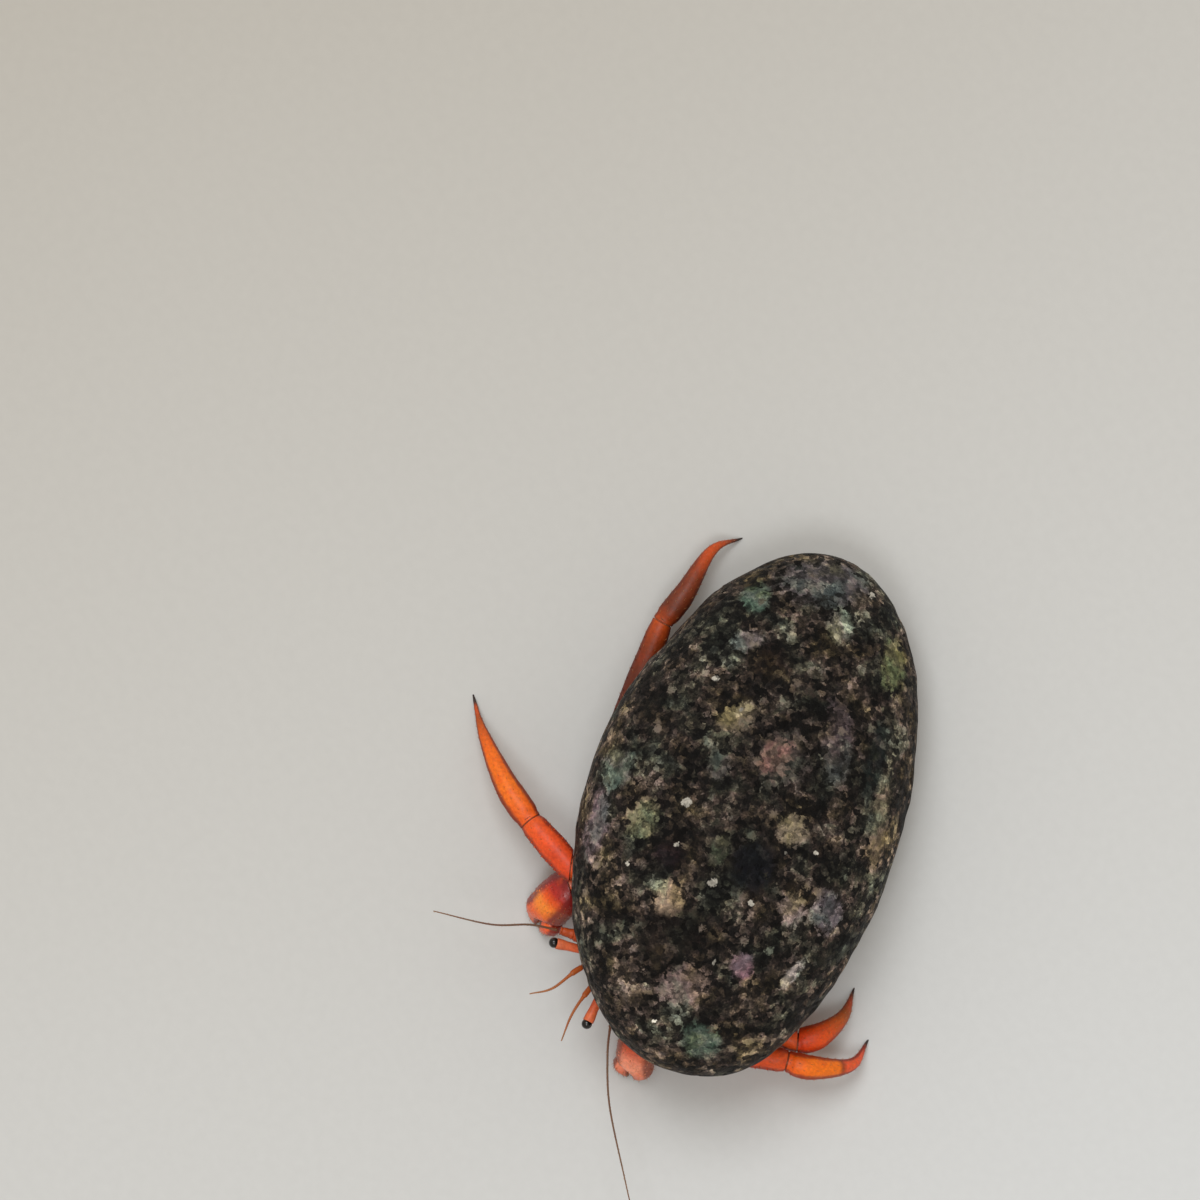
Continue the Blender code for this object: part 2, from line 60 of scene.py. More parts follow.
MM = 0.001
MIDLINE = 5.3  # x of the crab's own plane of symmetry
SHIELD_FRONT, SHIELD_BACK, THORAX_BACK = -20.2, -12.9, -5.6
GAP = 0.16  # clear space between two hard pieces that meet at a joint
FLOOR_CLEARANCE = 0.12  # no bristle points lower than this
HORN_BLEND = 0.11  # the share of a limb over which its cuticle turns to horn
GOLDEN, GOLDEN_TURN = 0.618, 0.382  # steps that spread marks evenly along a piece and round it
EVEN_ALONG, EVEN_ROUND = 0.5698403, 0.7548777  # the same over a surface, from the plastic number
ORIGIN, LEFTWARD, DOWNWARD = Vector((0, 0, 0)), Vector((1, 0, 0)), Vector((0, 0, -1))

MARKS = ("along", "edge", "tip")  # what every limb's skin tells its finish at each corner

Point = Sequence[float]
Table = Sequence[Sequence[float]]
Relief = Callable[[float, float], float]
Node = bpy.types.Node
BMesh = bmesh.types.BMesh
Inputs = dict[str | int, object]
Stops = tuple[tuple[float, str], ...]
NodeMaker = Callable[..., Node]


def build_shift() -> Vector:
    """How far the frame's origin lies from the one that the sizes here start at, in millimetres."""
    low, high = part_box("thorax")
    middle = (low.x + high.x) / 2 / MM
    return Vector((middle - MIDLINE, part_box("head_shield")[0].y / MM - SHIELD_FRONT, 0.0))


BUILD_SHIFT = build_shift()


class Slot(Enum):
    """The record's material slots."""

    PEBBLE = "pebble"
    SHELL = "shell"
    CLAW = "claw"
    FLESH = "flesh"
    CORNEA = "cornea"


class Side(Enum):
    """The crab's two sides, with the way that x runs on each."""

    RIGHT = ("right", -1)
    LEFT = ("left", 1)

    @property
    def label(self) -> str:
        """The side's name as the nodes spell it."""
        return self.value[0]

    @property
    def sign(self) -> int:
        """1 where x grows away from the midline, -1 on the other side."""
        return self.value[1]


# --- finishes


def linear(colour: str) -> tuple[float, float, float, float]:
    """Turn an sRGB hex colour to the linear values that a shader takes.

    Args:
        colour: Six hex digits, with or without a leading #.

    Returns:
        Red, green, blue and an alpha of 1.
    """
    digits = colour.lstrip("#")
    shares = [int(digits[n : n + 2], 16) / 255 for n in (0, 2, 4)]
    red, green, blue = (s / 12.92 if s <= 0.04045 else ((s + 0.055) / 1.055) ** 2.4 for s in shares)
    return red, green, blue, 1.0


def plug(node: Node, inputs: Inputs) -> None:
    """Link a node's inputs or set their values.

    Args:
        node: The node.
        inputs: For each input's name or number, a socket to link, a node whose first live output
            to link, or a value to set.
    """
    for key, value in inputs.items():
        if isinstance(value, Node):
            value = next(output for output in value.outputs if output.enabled)
        if isinstance(value, bpy.types.NodeSocket):
            node.id_data.links.new(value, node.inputs[key])
        else:
            node.inputs[key].default_value = value


def add_node(
    tree: bpy.types.NodeTree, kind: str, inputs: Inputs | None = None, stops: Stops = (), **settings: object
) -> Node:
    """Add a shader node with its settings and links.

    Args:
        tree: The material's nodes.
        kind: The node's type without its first word, such as TexNoise.
        inputs: What its inputs are linked or set to.
        stops: The places and hex colours of a colour ramp.
        settings: Properties of the node itself.

    Returns:
        The new node.
    """
    node = tree.nodes.new(f"ShaderNode{kind}")
    for key, value in settings.items():
        setattr(node, key, value)
    for number, (place, colour) in enumerate(stops):
        elements = node.color_ramp.elements
        element = elements[number] if number < 2 else elements.new(place)
        element.position, element.color = place, linear(colour)
    plug(node, inputs or {})
    return node


@dataclass(frozen=True)
class Finish:
    """What every finish has: a name, and a way to make its material once."""

    name: str

    def material(self) -> bpy.types.Material:
        """The material, made the first time it is asked for."""
        known = bpy.data.materials.get(self.name)
        if known:
            return known
        made = bpy.data.materials.new(self.name)
        made.use_nodes = True
        tree = made.node_tree
        plug(tree.nodes["Principled BSDF"], self.dress(partial(add_node, tree)))
        return made

    def dress(self, add: NodeMaker) -> Inputs:
        """Make the material's nodes, and return what each input of its shader gets."""
        raise NotImplementedError


@dataclass(frozen=True)
class Clast:
    """One larger stone set in the pebble: its place on the crown, its size and its colour."""

    across: float
    along: float
    level: float
    width: float
    length: float
    turn: float  # degrees from the pebble's long axis
    colour: str
    strength: float = 0.9


CLASTS = tuple(
    Clast(*row) for row in (  # across, along, level, width, length, turn, colour, how strongly it shows
        (-5.4, 7.7, 9.6, 2.4, 4.8, -45, "9f9882", 0.85), (-4.8, 9.1, 9.6, 1.2, 1.9, -45, "ccc7b0", 0.9),
        (0.4, 5.3, 10.1, 4.8, 5.4, -25, "7a746d", 0.6), (-0.1, 5.3, 10.1, 3.0, 3.7, -15, "97776e", 0.85),
        (3.9, -1.2, 10.0, 2.6, 3.2, 20, "a8a290", 0.8), (-11.0, -4.9, 8.1, 2.9, 3.9, 10, "958f72", 0.75),
        (-6.0, -12.0, 9.0, 2.9, 3.3, 30, "bdae93", 0.9), (-1.5, -19.8, 7.9, 3.4, 5.0, -60, "887b75", 0.7),
        (3.5, -16.0, 8.7, 2.1, 2.5, 0, "8d6e7b", 0.7), (6.6, -9.0, 9.2, 2.4, 3.0, 20, "9f958f", 0.75),
        (-15.0, -6.7, 4.5, 1.9, 7.0, 10, "867a80", 0.5), (-5.5, 2.6, 9.8, 2.0, 2.8, 20, "73736c", 0.7),
        (-2.6, -5.5, 10.0, 1.8, 3.4, -10, "777d68", 0.6), (-6.4, 16.0, 8.2, 1.9, 2.9, -60, "8b8885", 0.7),
        (-14.8, -0.6, 5.3, 2.8, 4.0, 0, "71786f", 0.6), (2.2, -24.4, 5.8, 3.2, 4.2, 60, "5c7567", 0.5),
        (1.2, -6.0, 10.1, 4.4, 5.0, 0, "0c1019", 0.9), (-4.7, -15.2, 8.8, 6.4, 4.6, 20, "120d0a", 0.8),
        (-7.2, -7.6, 9.2, 3.0, 2.8, 0, "20161c", 0.8), (-12.7, 6.1, 6.9, 3.4, 4.2, 0, "0e0f0d", 0.6),
        (-6.8, 20.9, 6.6, 2.6, 3.2, 0, "60786c", 0.6), (-0.1, 25.1, 5.5, 8.6, 5.0, 20, "66686b", 0.5),
        (2.3, 20.6, 7.5, 2.6, 3.2, 0, "989d8f", 0.8), (9.1, 19.1, 6.3, 2.8, 5.4, 10, "757a58", 0.6),
        (-3.4, 14.6, 9.0, 4.4, 3.6, 20, "201814", 0.7), (5.5, 9.2, 9.4, 3.0, 8.0, 15, "6d6568", 0.45),
        (10.1, 8.7, 8.2, 2.2, 7.6, 5, "1b2526", 0.65), (12.8, 2.2, 7.0, 1.8, 11.0, 10, "8f8571", 0.5),
        (10.4, -7.9, 8.1, 3.0, 4.0, 20, "78777d", 0.6), (8.9, -15.0, 7.6, 1.1, 3.2, -25, "a5a59f", 0.7),
    )
)
QUARTZ_GRAINS = tuple(
    Clast(across, along, level, size * 0.85, size, 0, "c6c2b6")
    for across, along, level, size in (
        (-8.4, 11.2, 8.5, 0.75), (4.9, 25.3, 4.7, 0.8), (-7.4, -2.0, 9.4, 0.95), (-2.3, -9.0, 9.8, 0.8),
        (2.2, -9.7, 9.7, 0.6), (6.9, -2.6, 9.5, 0.5), (-11.0, -9.7, 7.6, 0.5), (-5.0, 8.9, 9.5, 0.5),
        (3.9, -3.6, 10.0, 0.45), (0.6, -16.5, 8.6, 0.5), (-3.0, -24.0, 5.6, 0.4), (-6.9, -6.4, 9.2, 0.55),
    )
)


@dataclass(frozen=True)
class StreamWornConglomerate(Finish):
    """Stream-worn conglomerate: sand and grit set in a dark silty ground, rolled smooth by water.

    The eye sees a nearly black stone, peppered with half-millimetre grains, with a few pale clasts.
    It is drawn on the pebble's own axes, in millimetres.
    """

    centre: Vector
    turn: Euler
    crystal: float = 0.36  # from one crystal to the next
    grain: float = 0.62  # from one grain of sand to the next
    grit: float = 1.5
    clast_depth: float = 6.0
    half_size: tuple[float, float] = (16.6, 28.5)  # of the crown, past which the flanks take a painted rim light

    def shaken(self, add: NodeMaker, place: Node, by: Node, reach: float) -> Node:
        """Places pushed about by a noise, so that no outline is quite round.

        Args:
            add: Adds a node.
            place: The places.
            by: The noise.
            reach: How far the push goes from one side to the other.

        Returns:
            The pushed places.
        """
        push = add("VectorMath", {0: by.outputs["Color"], 1: (0.5, 0.5, 0.5)}, operation="SUBTRACT")
        return add("VectorMath", {0: push, 1: (reach, reach, reach), 2: place}, operation="MULTIPLY_ADD")

    def inlaid(
        self, add: NodeMaker, ground: Node, place: Node, tone: Node, clasts: tuple[Clast, ...], soft: float
    ) -> Node:
        """The ground with clasts set in it, ragged in outline and mottled like the ground itself.

        Args:
            add: Adds a node.
            ground: The ground's colour.
            place: The places.
            tone: The ground's own light and dark, about 1.5.
            clasts: The clasts, the upper ones last.
            soft: How gradually a clast passes into the ground, as a share of its half size.

        Returns:
            The colour of both.
        """
        shade = add("MapRange", {0: tone, 1: 1.15, 2: 2.2, 3: 0.35, 4: 1.45})
        for clast in clasts:
            local = add("Mapping", {
                "Vector": place, "Location": (clast.across, clast.along, clast.level),
                "Rotation": (0.0, 0.0, math.radians(clast.turn)),
                "Scale": (clast.width / 2, clast.length / 2, self.clast_depth / 2),
            }, vector_type="TEXTURE")
            away = add("VectorMath", {0: local}, operation="LENGTH")
            edge = add("Math", {0: tone, 1: -0.55, 2: away}, operation="MULTIPLY_ADD")
            inside = add(
                "MapRange", {0: edge, 1: 0.12 + soft, 2: 0.12 - soft, 4: clast.strength},
                interpolation_type="SMOOTHSTEP",
            )
            own = add("VectorMath", {0: linear(clast.colour)[:3], "Scale": shade}, operation="SCALE")
            ground = add("Mix", {0: inside, 6: ground, 7: own}, data_type="RGBA")
        return ground

    def gritted(self, add: NodeMaker, ground: Node, place: Node, fine: Node) -> Node:
        """The ground with some larger dark and pale grains over it.

        Args:
            add: Adds a node.
            ground: The ground's colour.
            place: The places.
            fine: A fine noise that frays the grains.

        Returns:
            The colour of both.
        """
        grit = add("TexVoronoi", {"Vector": place, "Scale": 1 / self.grit})
        parts = add("SeparateColor", {0: grit.outputs["Color"]})
        edge = add("Math", {0: fine, 1: 1.2, 2: grit}, operation="MULTIPLY_ADD")
        disc = add("MapRange", {0: edge, 1: 1.0, 2: 0.78, 4: 0.8}, interpolation_type="SMOOTHSTEP")
        there = add("MapRange", {0: parts, 1: 0.55, 2: 0.75, 4: 0.85})
        mask = add("Math", {0: disc, 1: there}, operation="MULTIPLY")
        tone = add("Math", {0: fine, 1: 0.5, 2: parts.outputs[1]}, operation="MULTIPLY_ADD")
        colour = add("ValToRGB", {0: tone}, (
            (0.15, "0c0b0a"), (0.5, "1f1c19"), (0.75, "3a342d"), (0.95, "554e43"), (1.1, "675f59"),
            (1.3, "948c7d"),
        ))
        return add("Mix", {0: mask, 6: ground, 7: colour}, data_type="RGBA")

    def dress(self, add: NodeMaker) -> Inputs:
        """Grains of three sizes in a dark ground, the named clasts, and the colour's slow drift.

        Args:
            add: Adds a node.

        Returns:
            What the shader gets.
        """
        own = add("Mapping", {
            "Vector": add("TexCoord").outputs["Object"], "Location": self.centre * MM,
            "Rotation": self.turn, "Scale": (MM, MM, MM),
        }, vector_type="TEXTURE")
        ragged = add("TexNoise", {"Vector": own, "Scale": 1.7, "Detail": 3.0, "Roughness": 0.6})
        warped = self.shaken(add, own, ragged, 0.8)
        swirl = add("TexNoise", {"Vector": own, "Scale": 0.45, "Detail": 4.0, "Roughness": 0.6})
        bent = self.shaken(add, warped, swirl, 2.6)
        fine = add("TexNoise", {"Vector": own, "Scale": 4.6, "Detail": 4.0, "Roughness": 0.7})

        sand = add("TexVoronoi", {"Vector": warped, "Scale": 1 / self.grain})
        sand_parts = add("SeparateColor", {0: sand.outputs["Color"]})
        grained = add("Math", {0: sand_parts, 1: 0.8, 2: fine}, operation="MULTIPLY_ADD")
        blotch = add("TexNoise", {"Vector": own, "Scale": 0.9, "Detail": 5.0, "Roughness": 0.62})
        toned = add("Math", {0: blotch, 1: 1.5, 2: grained}, operation="MULTIPLY_ADD")
        broad = add("TexNoise", {"Vector": bent, "Scale": 0.3, "Detail": 3.0, "Roughness": 0.55})
        patched = add("Math", {0: broad, 1: 1.9, 2: toned}, operation="MULTIPLY_ADD")
        spread = add("MapRange", {0: patched, 1: 2.12, 2: 3.34})
        sand_grey = add("ValToRGB", {0: spread}, (
            (0.0, "090807"), (0.2, "191715"), (0.4, "2f2c28"), (0.58, "49443e"), (0.76, "6d665c"),
            (1.0, "aca498"),
        ))
        sand_tint = add("ValToRGB", {0: sand_parts.outputs[1]}, (
            (0.0, "7e8678"), (0.25, "8e8670"), (0.5, "887e74"), (0.75, "8c7a7a"), (1.0, "7a8086"),
        ))
        tinged = add("Mix", {0: 0.45, 6: sand_grey, 7: sand_tint}, data_type="RGBA", blend_type="SOFT_LIGHT")
        bedded = self.inlaid(add, tinged, warped, toned, CLASTS, 0.34)

        nicked = self.shaken(add, own, fine, 0.22)
        # the crystals differ in tone; the whitest of them are painted glints
        crystal = add("TexVoronoi", {"Vector": nicked, "Scale": 1 / self.crystal})
        crystal_tone_and_painted_glint = add("ValToRGB", {0: add("SeparateColor", {0: crystal.outputs["Color"]})}, (
            (0.0, "686868"), (0.3, "8c8c8c"), (0.6, "bcbcbc"), (0.84, "c8c4c0"), (0.9, "fffcf6"),
            (1.0, "fffaf0"),
        ))
        crisp = add("Mix", {0: 0.66, 6: bedded, 7: crystal_tone_and_painted_glint}, data_type="RGBA", blend_type="MULTIPLY")
        ground = add("VectorMath", {0: crisp, "Scale": 1.8}, operation="SCALE")
        gritty = self.gritted(add, ground, warped, fine)
        drift = add("TexNoise", {"Vector": bent, "Scale": 0.24, "Detail": 3.0})
        drift_tint = add("ValToRGB", {0: drift}, (
            (0.34, "c2d8d6"), (0.43, "d3dad3"), (0.5, "dbd0d5"), (0.57, "ddd2c8"), (0.66, "dad2b4"),
        ))
        tinted = add("Mix", {0: 1.0, 6: gritty, 7: drift_tint}, data_type="RGBA", blend_type="MULTIPLY")
        specked = self.inlaid(add, tinted, warped, toned, QUARTZ_GRAINS, 0.2)

        # painted light: the flanks are drawn paler than the crown, a painted rim light, and the hollow
        # underneath darker, a painted shade
        shares = (1 / self.half_size[0], 1 / self.half_size[1], 0.0)
        egg = add("VectorMath", {0: own, 1: shares, 2: (0.09, -0.07, 0.0)}, operation="MULTIPLY_ADD")
        reach = add("VectorMath", {0: egg}, operation="LENGTH")
        # painted rim light: paler towards the flanks
        painted_rim_light = add("MapRange", {0: reach, 1: 0.35, 2: 1.0, 3: 0.99, 4: 2.35})
        hollow = add("Attribute", attribute_name="hollow").outputs["Fac"]
        # painted shade: darker inside the hollow under the stone
        painted_hollow_shade = add("MapRange", {0: hollow, 3: 1.0, 4: 0.7})
        level = add("Math", {0: painted_rim_light, 1: painted_hollow_shade}, operation="MULTIPLY")
        lit = add("VectorMath", {0: specked, "Scale": level}, operation="SCALE")

        pores = add("TexVoronoi", {"Vector": warped, "Scale": 1.15, "Randomness": 1.0})
        pits = add("MapRange", {0: pores, 1: 0.04, 2: 0.3}, interpolation_type="SMOOTHSTEP")
        grains = add("MapRange", {0: sand, 1: 0.0, 2: 0.55, 3: 1.0, 4: 0.0})
        rough_ground = add("Math", {0: grains, 1: 0.6, 2: fine}, operation="MULTIPLY_ADD")
        height = add("Math", {0: pits, 1: 0.8, 2: rough_ground}, operation="MULTIPLY_ADD")
        return {
            "Base Color": lit,
            "Normal": add("Bump", {"Strength": 0.8, "Distance": 0.0002, "Height": height}),
            "Roughness": add("MapRange", {0: sand_parts.outputs[2], 3: 0.5, 4: 0.75}),
            "IOR": 1.54,  # quartz and silicate grains
            "Specular IOR Level": 0.12,  # dry and porous, it throws back less than glass
        }


@dataclass(frozen=True)
class CalcifiedCuticle(Finish):
    """Sclerotised, calcified crab cuticle, pigmented through and worn glossy.

    It reads the skin's own marks: along, edge and tip. The eye sees a warm ground that changes along
    the limb, dark red margins that are partly pigment and partly painted shade along its sides, small pale
    pits where bristles root, and a wet-looking gloss.
    """

    along: Stops = ((0.0, "d9652c"), (1.0, "e8782f"))
    # the margins' dark red is partly pigment and partly painted shade on the limb's sides
    margin: str = "7c2416"
    margin_share: float = 0.55
    margin_from: float = 0.8
    horn: str = "2c2320"
    mottle: str = "b8431c"
    grain: float = 0.34  # millimetres between the scale-like rugae
    relief: float = 0.00004
    roughness: float = 0.5
    shine: float = 0.32  # how strongly the dry wax throws light back

    def dress(self, add: NodeMaker) -> Inputs:
        """The ground colour, its margins with their painted shade, and horny tips, then the pitted, rugose
        surface.

        Args:
            add: Adds a node.

        Returns:
            What the shader gets.
        """
        own = add("Mapping", {"Vector": add("TexCoord").outputs["Object"], "Scale": (1 / MM,) * 3})
        along, edge, tip = (add("Attribute", attribute_name=mark).outputs["Fac"] for mark in MARKS)
        cloud = add("TexNoise", {"Vector": own, "Scale": 0.55, "Detail": 3.0})
        speckle = add("TexNoise", {"Vector": own, "Scale": 3.1, "Detail": 4.0, "Roughness": 0.6})
        ground = add("ValToRGB", {0: along}, self.along)
        clouded = add("MapRange", {0: cloud, 1: 0.48, 2: 0.7, 4: 0.55}, interpolation_type="SMOOTHSTEP")
        mottled = add("Mix", {0: clouded, 6: ground, 7: linear(self.mottle)}, data_type="RGBA")
        peppered = add("MapRange", {0: speckle, 1: 0.35, 2: 0.7, 3: 0.82, 4: 1.16})
        toned = add("VectorMath", {0: mottled, "Scale": peppered}, operation="SCALE")
        # margins: dark red on the sides, partly pigment, partly painted shade
        uneven = add("Math", {0: cloud, 1: 0.24, 2: edge}, operation="MULTIPLY_ADD")
        first = self.margin_from
        rim = add(
            "MapRange", {0: uneven, 1: first, 2: first + 0.3, 4: self.margin_share},
            interpolation_type="SMOOTHSTEP",
        )
        edged = add("Mix", {0: rim, 6: toned, 7: linear(self.margin)}, data_type="RGBA")
        horny = add("MapRange", {0: tip, 1: 0.25, 2: 0.8, 4: 0.96}, interpolation_type="SMOOTHSTEP")

        scales = add("TexVoronoi", {"Vector": own, "Scale": 1 / self.grain}, feature="SMOOTH_F1")
        pits = add("TexVoronoi", {"Vector": own, "Scale": 1.6})
        sunk = add("MapRange", {0: pits, 1: 0.02, 2: 0.1, 3: -0.35, 4: 0.0})
        raised = add("Math", {0: scales, 1: -1.1, 2: sunk}, operation="MULTIPLY_ADD")
        surface = add("Math", {0: speckle, 1: 0.5, 2: raised}, operation="MULTIPLY_ADD")
        dull = self.roughness
        return {
            "Base Color": add("Mix", {0: horny, 6: edged, 7: linear(self.horn)}, data_type="RGBA"),
            "Normal": add("Bump", {"Strength": 0.6, "Distance": self.relief, "Height": surface}),
            "Roughness": add("MapRange", {0: speckle, 1: 0.3, 2: 0.75, 3: dull - 0.06, 4: dull + 0.16}),
            "IOR": 1.56,  # chitin
            "Specular IOR Level": self.shine,
            "Subsurface Weight": 0.1,
            "Subsurface Radius": (1.0, 0.3, 0.08),
            "Subsurface Scale": 0.0006,
            "Coat Weight": 0.06,
            "Coat Roughness": 0.2,
        }


@dataclass(frozen=True)
class SoftIntegument(Finish):
    """Uncalcified skin, as at the joints and on the abdomen: thin, folded, moist and translucent."""

    colour: str = "d98a62"
    vein: str = "b4583a"
    pale: str = "e6ac85"
    fold: float = 0.5  # millimetres between the fine wrinkles

    def dress(self, add: NodeMaker) -> Inputs:
        """Clouded flesh colours over light scattering, with fine wrinkles across the body.

        Args:
            add: Adds a node.

        Returns:
            What the shader gets.
        """
        own = add("Mapping", {"Vector": add("TexCoord").outputs["Object"], "Scale": (1 / MM,) * 3})
        cloud = add("TexNoise", {"Vector": own, "Scale": 0.4, "Detail": 5.0, "Roughness": 0.6})
        along = add("Attribute", attribute_name="along").outputs["Fac"]
        wrinkles = add("TexNoise", {"Vector": own, "Scale": 1 / self.fold, "Detail": 3.0})
        ripple = add("Math", {0: along, 1: 260.0}, operation="MULTIPLY")
        wave = add("Math", {0: ripple}, operation="SINE")
        height = add("Math", {0: wave, 1: 0.3, 2: wrinkles}, operation="MULTIPLY_ADD")
        stops = ((0.3, self.vein), (0.5, self.colour), (0.72, self.pale))
        return {
            "Base Color": add("ValToRGB", {0: cloud}, stops),
            "Normal": add("Bump", {"Strength": 0.5, "Distance": 0.00008, "Height": height}),
            "Roughness": add("MapRange", {0: wrinkles, 1: 0.3, 2: 0.7, 3: 0.32, 4: 0.5}),
            "IOR": 1.4,  # wet tissue
            "Subsurface Weight": 0.3,
            "Subsurface Radius": (1.0, 0.4, 0.2),
            "Subsurface Scale": 0.0012,
        }


@dataclass(frozen=True)
class FacetedCornea(Finish):
    """The compound eye: black pigment under a clear, finely faceted cuticle lens."""

    facet: float = 0.09  # real facets are 0.03 mm across, too fine to show, so they are drawn coarser

    def dress(self, add: NodeMaker) -> Inputs:
        """Nearly black, with a faint brown cast between the facets and a clear gloss over them.

        Args:
            add: Adds a node.

        Returns:
            What the shader gets.
        """
        own = add("Mapping", {"Vector": add("TexCoord").outputs["Object"], "Scale": (1 / MM,) * 3})
        facets = add("TexVoronoi", {"Vector": own, "Scale": 1 / self.facet, "Randomness": 0.3})
        return {
            "Base Color": add("ValToRGB", {0: facets}, ((0.0, "080707"), (0.6, "0f0c0c"), (1.0, "1e1613"))),
            "Normal": add("Bump", {"Strength": 0.25, "Distance": 0.00001, "Height": facets}, invert=True),
            "Roughness": 0.24,
            "IOR": 1.45,
            "Coat Weight": 0.2,
            "Coat Roughness": 0.08,
        }


@dataclass(frozen=True)
class BristleHorn(Finish):
    """Setae: solid chitin bristles, amber at the root and paler towards the point."""

    root: str = "8a4a24"
    point: str = "c98f58"

    def dress(self, add: NodeMaker) -> Inputs:
        """Amber chitin that pales along each bristle.

        Args:
            add: Adds a node.

        Returns:
            What the shader gets.
        """
        own = add("Mapping", {"Vector": add("TexCoord").outputs["Object"], "Scale": (1 / MM,) * 3})
        shift = add("TexNoise", {"Vector": own, "Scale": 1.3, "Detail": 2.0})
        along = add("Attribute", attribute_name="along").outputs["Fac"]
        worn = add("Math", {0: shift, 1: 0.5, 2: along}, operation="MULTIPLY_ADD")
        return {
            "Base Color": add("ValToRGB", {0: worn}, ((0.1, self.root), (0.6, "a4683a"), (1.0, self.point))),
            "Roughness": 0.38,
            "IOR": 1.56,
        }


@dataclass(frozen=True)
class MattBoard(Finish):
    """The studio floor: uncoated pale card, with a tooth too fine to throw a glint."""

    near: str = "d0d4d5"
    far: str = "b0ada4"  # painted fall-off of light: drawn warmer and darker away from the lamps
    away: tuple[float, float, float] = (-0.985, 0.17, 0.0)

    def dress(self, add: NodeMaker) -> Inputs:
        """A pale grey with a trace of fibre, with painted shade that warms and darkens it to one side.

        Args:
            add: Adds a node.

        Returns:
            What the shader gets.
        """
        place = add("TexCoord").outputs["Object"]
        fibre = add("TexNoise", {"Vector": place, "Scale": 900.0, "Detail": 3.0})
        broad = add("TexNoise", {"Vector": place, "Scale": 9.0, "Detail": 1.0})
        # painted fall-off of the lamps' light across the card
        reach = add("VectorMath", {0: place, 1: self.away}, operation="DOT_PRODUCT")
        spread = add("Math", {0: broad, 1: 0.03, 2: reach}, operation="MULTIPLY_ADD")
        side = add("MapRange", {0: spread, 1: -0.045, 2: 0.145})
        card = add("Mix", {0: side, 6: linear(self.near), 7: linear(self.far)}, data_type="RGBA")
        tooth = add("MapRange", {0: fibre, 1: 0.3, 2: 0.7, 3: 0.985, 4: 1.01})
        return {
            "Base Color": add("VectorMath", {0: card, "Scale": tooth}, operation="SCALE"),
            "Normal": add("Bump", {"Strength": 0.1, "Distance": 0.00005, "Height": fibre}),
            "Roughness": 0.85,
        }


LEG_CUTICLE = CalcifiedCuticle(
    "calcified_cuticle_leg_orange", along=((0.0, "d84214"), (0.6, "e8521c"), (1.0, "e65a1a")),
    mottle="c23810", margin="6c180c", margin_share=0.75, margin_from=0.76,
)
DACTYL_CUTICLE = CalcifiedCuticle(
    "calcified_cuticle_dactyl_orange", along=(
        (0.0, "e85c16"), (0.25, "f07414"), (0.55, "ee6e10"), (0.7, "d45c10"), (0.83, "a04816"),
        (1.0, "5a3020"),
    ), mottle="e05410", margin="6c180c", margin_share=0.85, margin_from=0.74,
)
# the rear right leg is drawn darker than the front legs: partly its own russet, partly painted shadow
REAR_LEG_CUTICLE = CalcifiedCuticle(
    "calcified_cuticle_rear_leg_russet_and_painted_shadow",
    along=((0.0, "4c1c14"), (0.3, "582212"), (0.55, "68280f"), (0.8, "86340c"), (1.0, "b8480a")),
    mottle="8a3010", margin="4c140a",
)
# its dark stretch near the base is partly painted shadow; the dark point is its horn
REAR_DACTYL_CUTICLE = CalcifiedCuticle(
    "calcified_cuticle_rear_dactyl_russet_and_painted_shadow", along=(
        (0.0, "ac420c"), (0.15, "6a2c12"), (0.4, "7e3618"), (0.6, "c24a12"), (0.8, "c8521c"), (0.9, "6a3420"),
        (1.0, "2c1c18"),
    ), mottle="762c12", margin="4c160a",
)
LEFT_REAR_DACTYL_CUTICLE = CalcifiedCuticle(
    "calcified_cuticle_left_rear_dactyl_orange", along=(
        (0.0, "e23c0c"), (0.25, "dc4e0c"), (0.5, "b8520c"), (0.72, "8c4818"), (0.85, "54301e"),
        (1.0, "2a1c18"),
    ), mottle="c83c0c", margin="7a1c0c",
)
LEFT_DACTYL_CUTICLE = CalcifiedCuticle(
    "calcified_cuticle_left_dactyl_orange", along=(
        (0.0, "f0560c"), (0.2, "f27408"), (0.45, "ee7608"), (0.5, "983c10"), (0.55, "e6582a"),
        (0.8, "dc5434"), (0.9, "7c2c1c"), (1.0, "2a1a16"),
    ), mottle="e05a08", margin="7a180c", margin_share=0.8, margin_from=0.7,
)
# the brightest orange on the palm, about 0.37 to 0.46 along it, is a painted highlight over its own orange
CLAW_CUTICLE = CalcifiedCuticle(
    "granular_claw_cuticle_vermilion_and_painted_highlight", along=(
        (0.0, "8c1210"), (0.14, "b4200e"), (0.26, "ee5a0c"), (0.37, "ff9028"), (0.46, "fc8a20"),
        (0.58, "f4681a"), (0.78, "ea581c"), (1.0, "dc7040"),
    ), mottle="f0500e", margin="74100e", margin_share=0.9, margin_from=0.52,
    grain=0.42, roughness=0.3, shine=0.5,
)
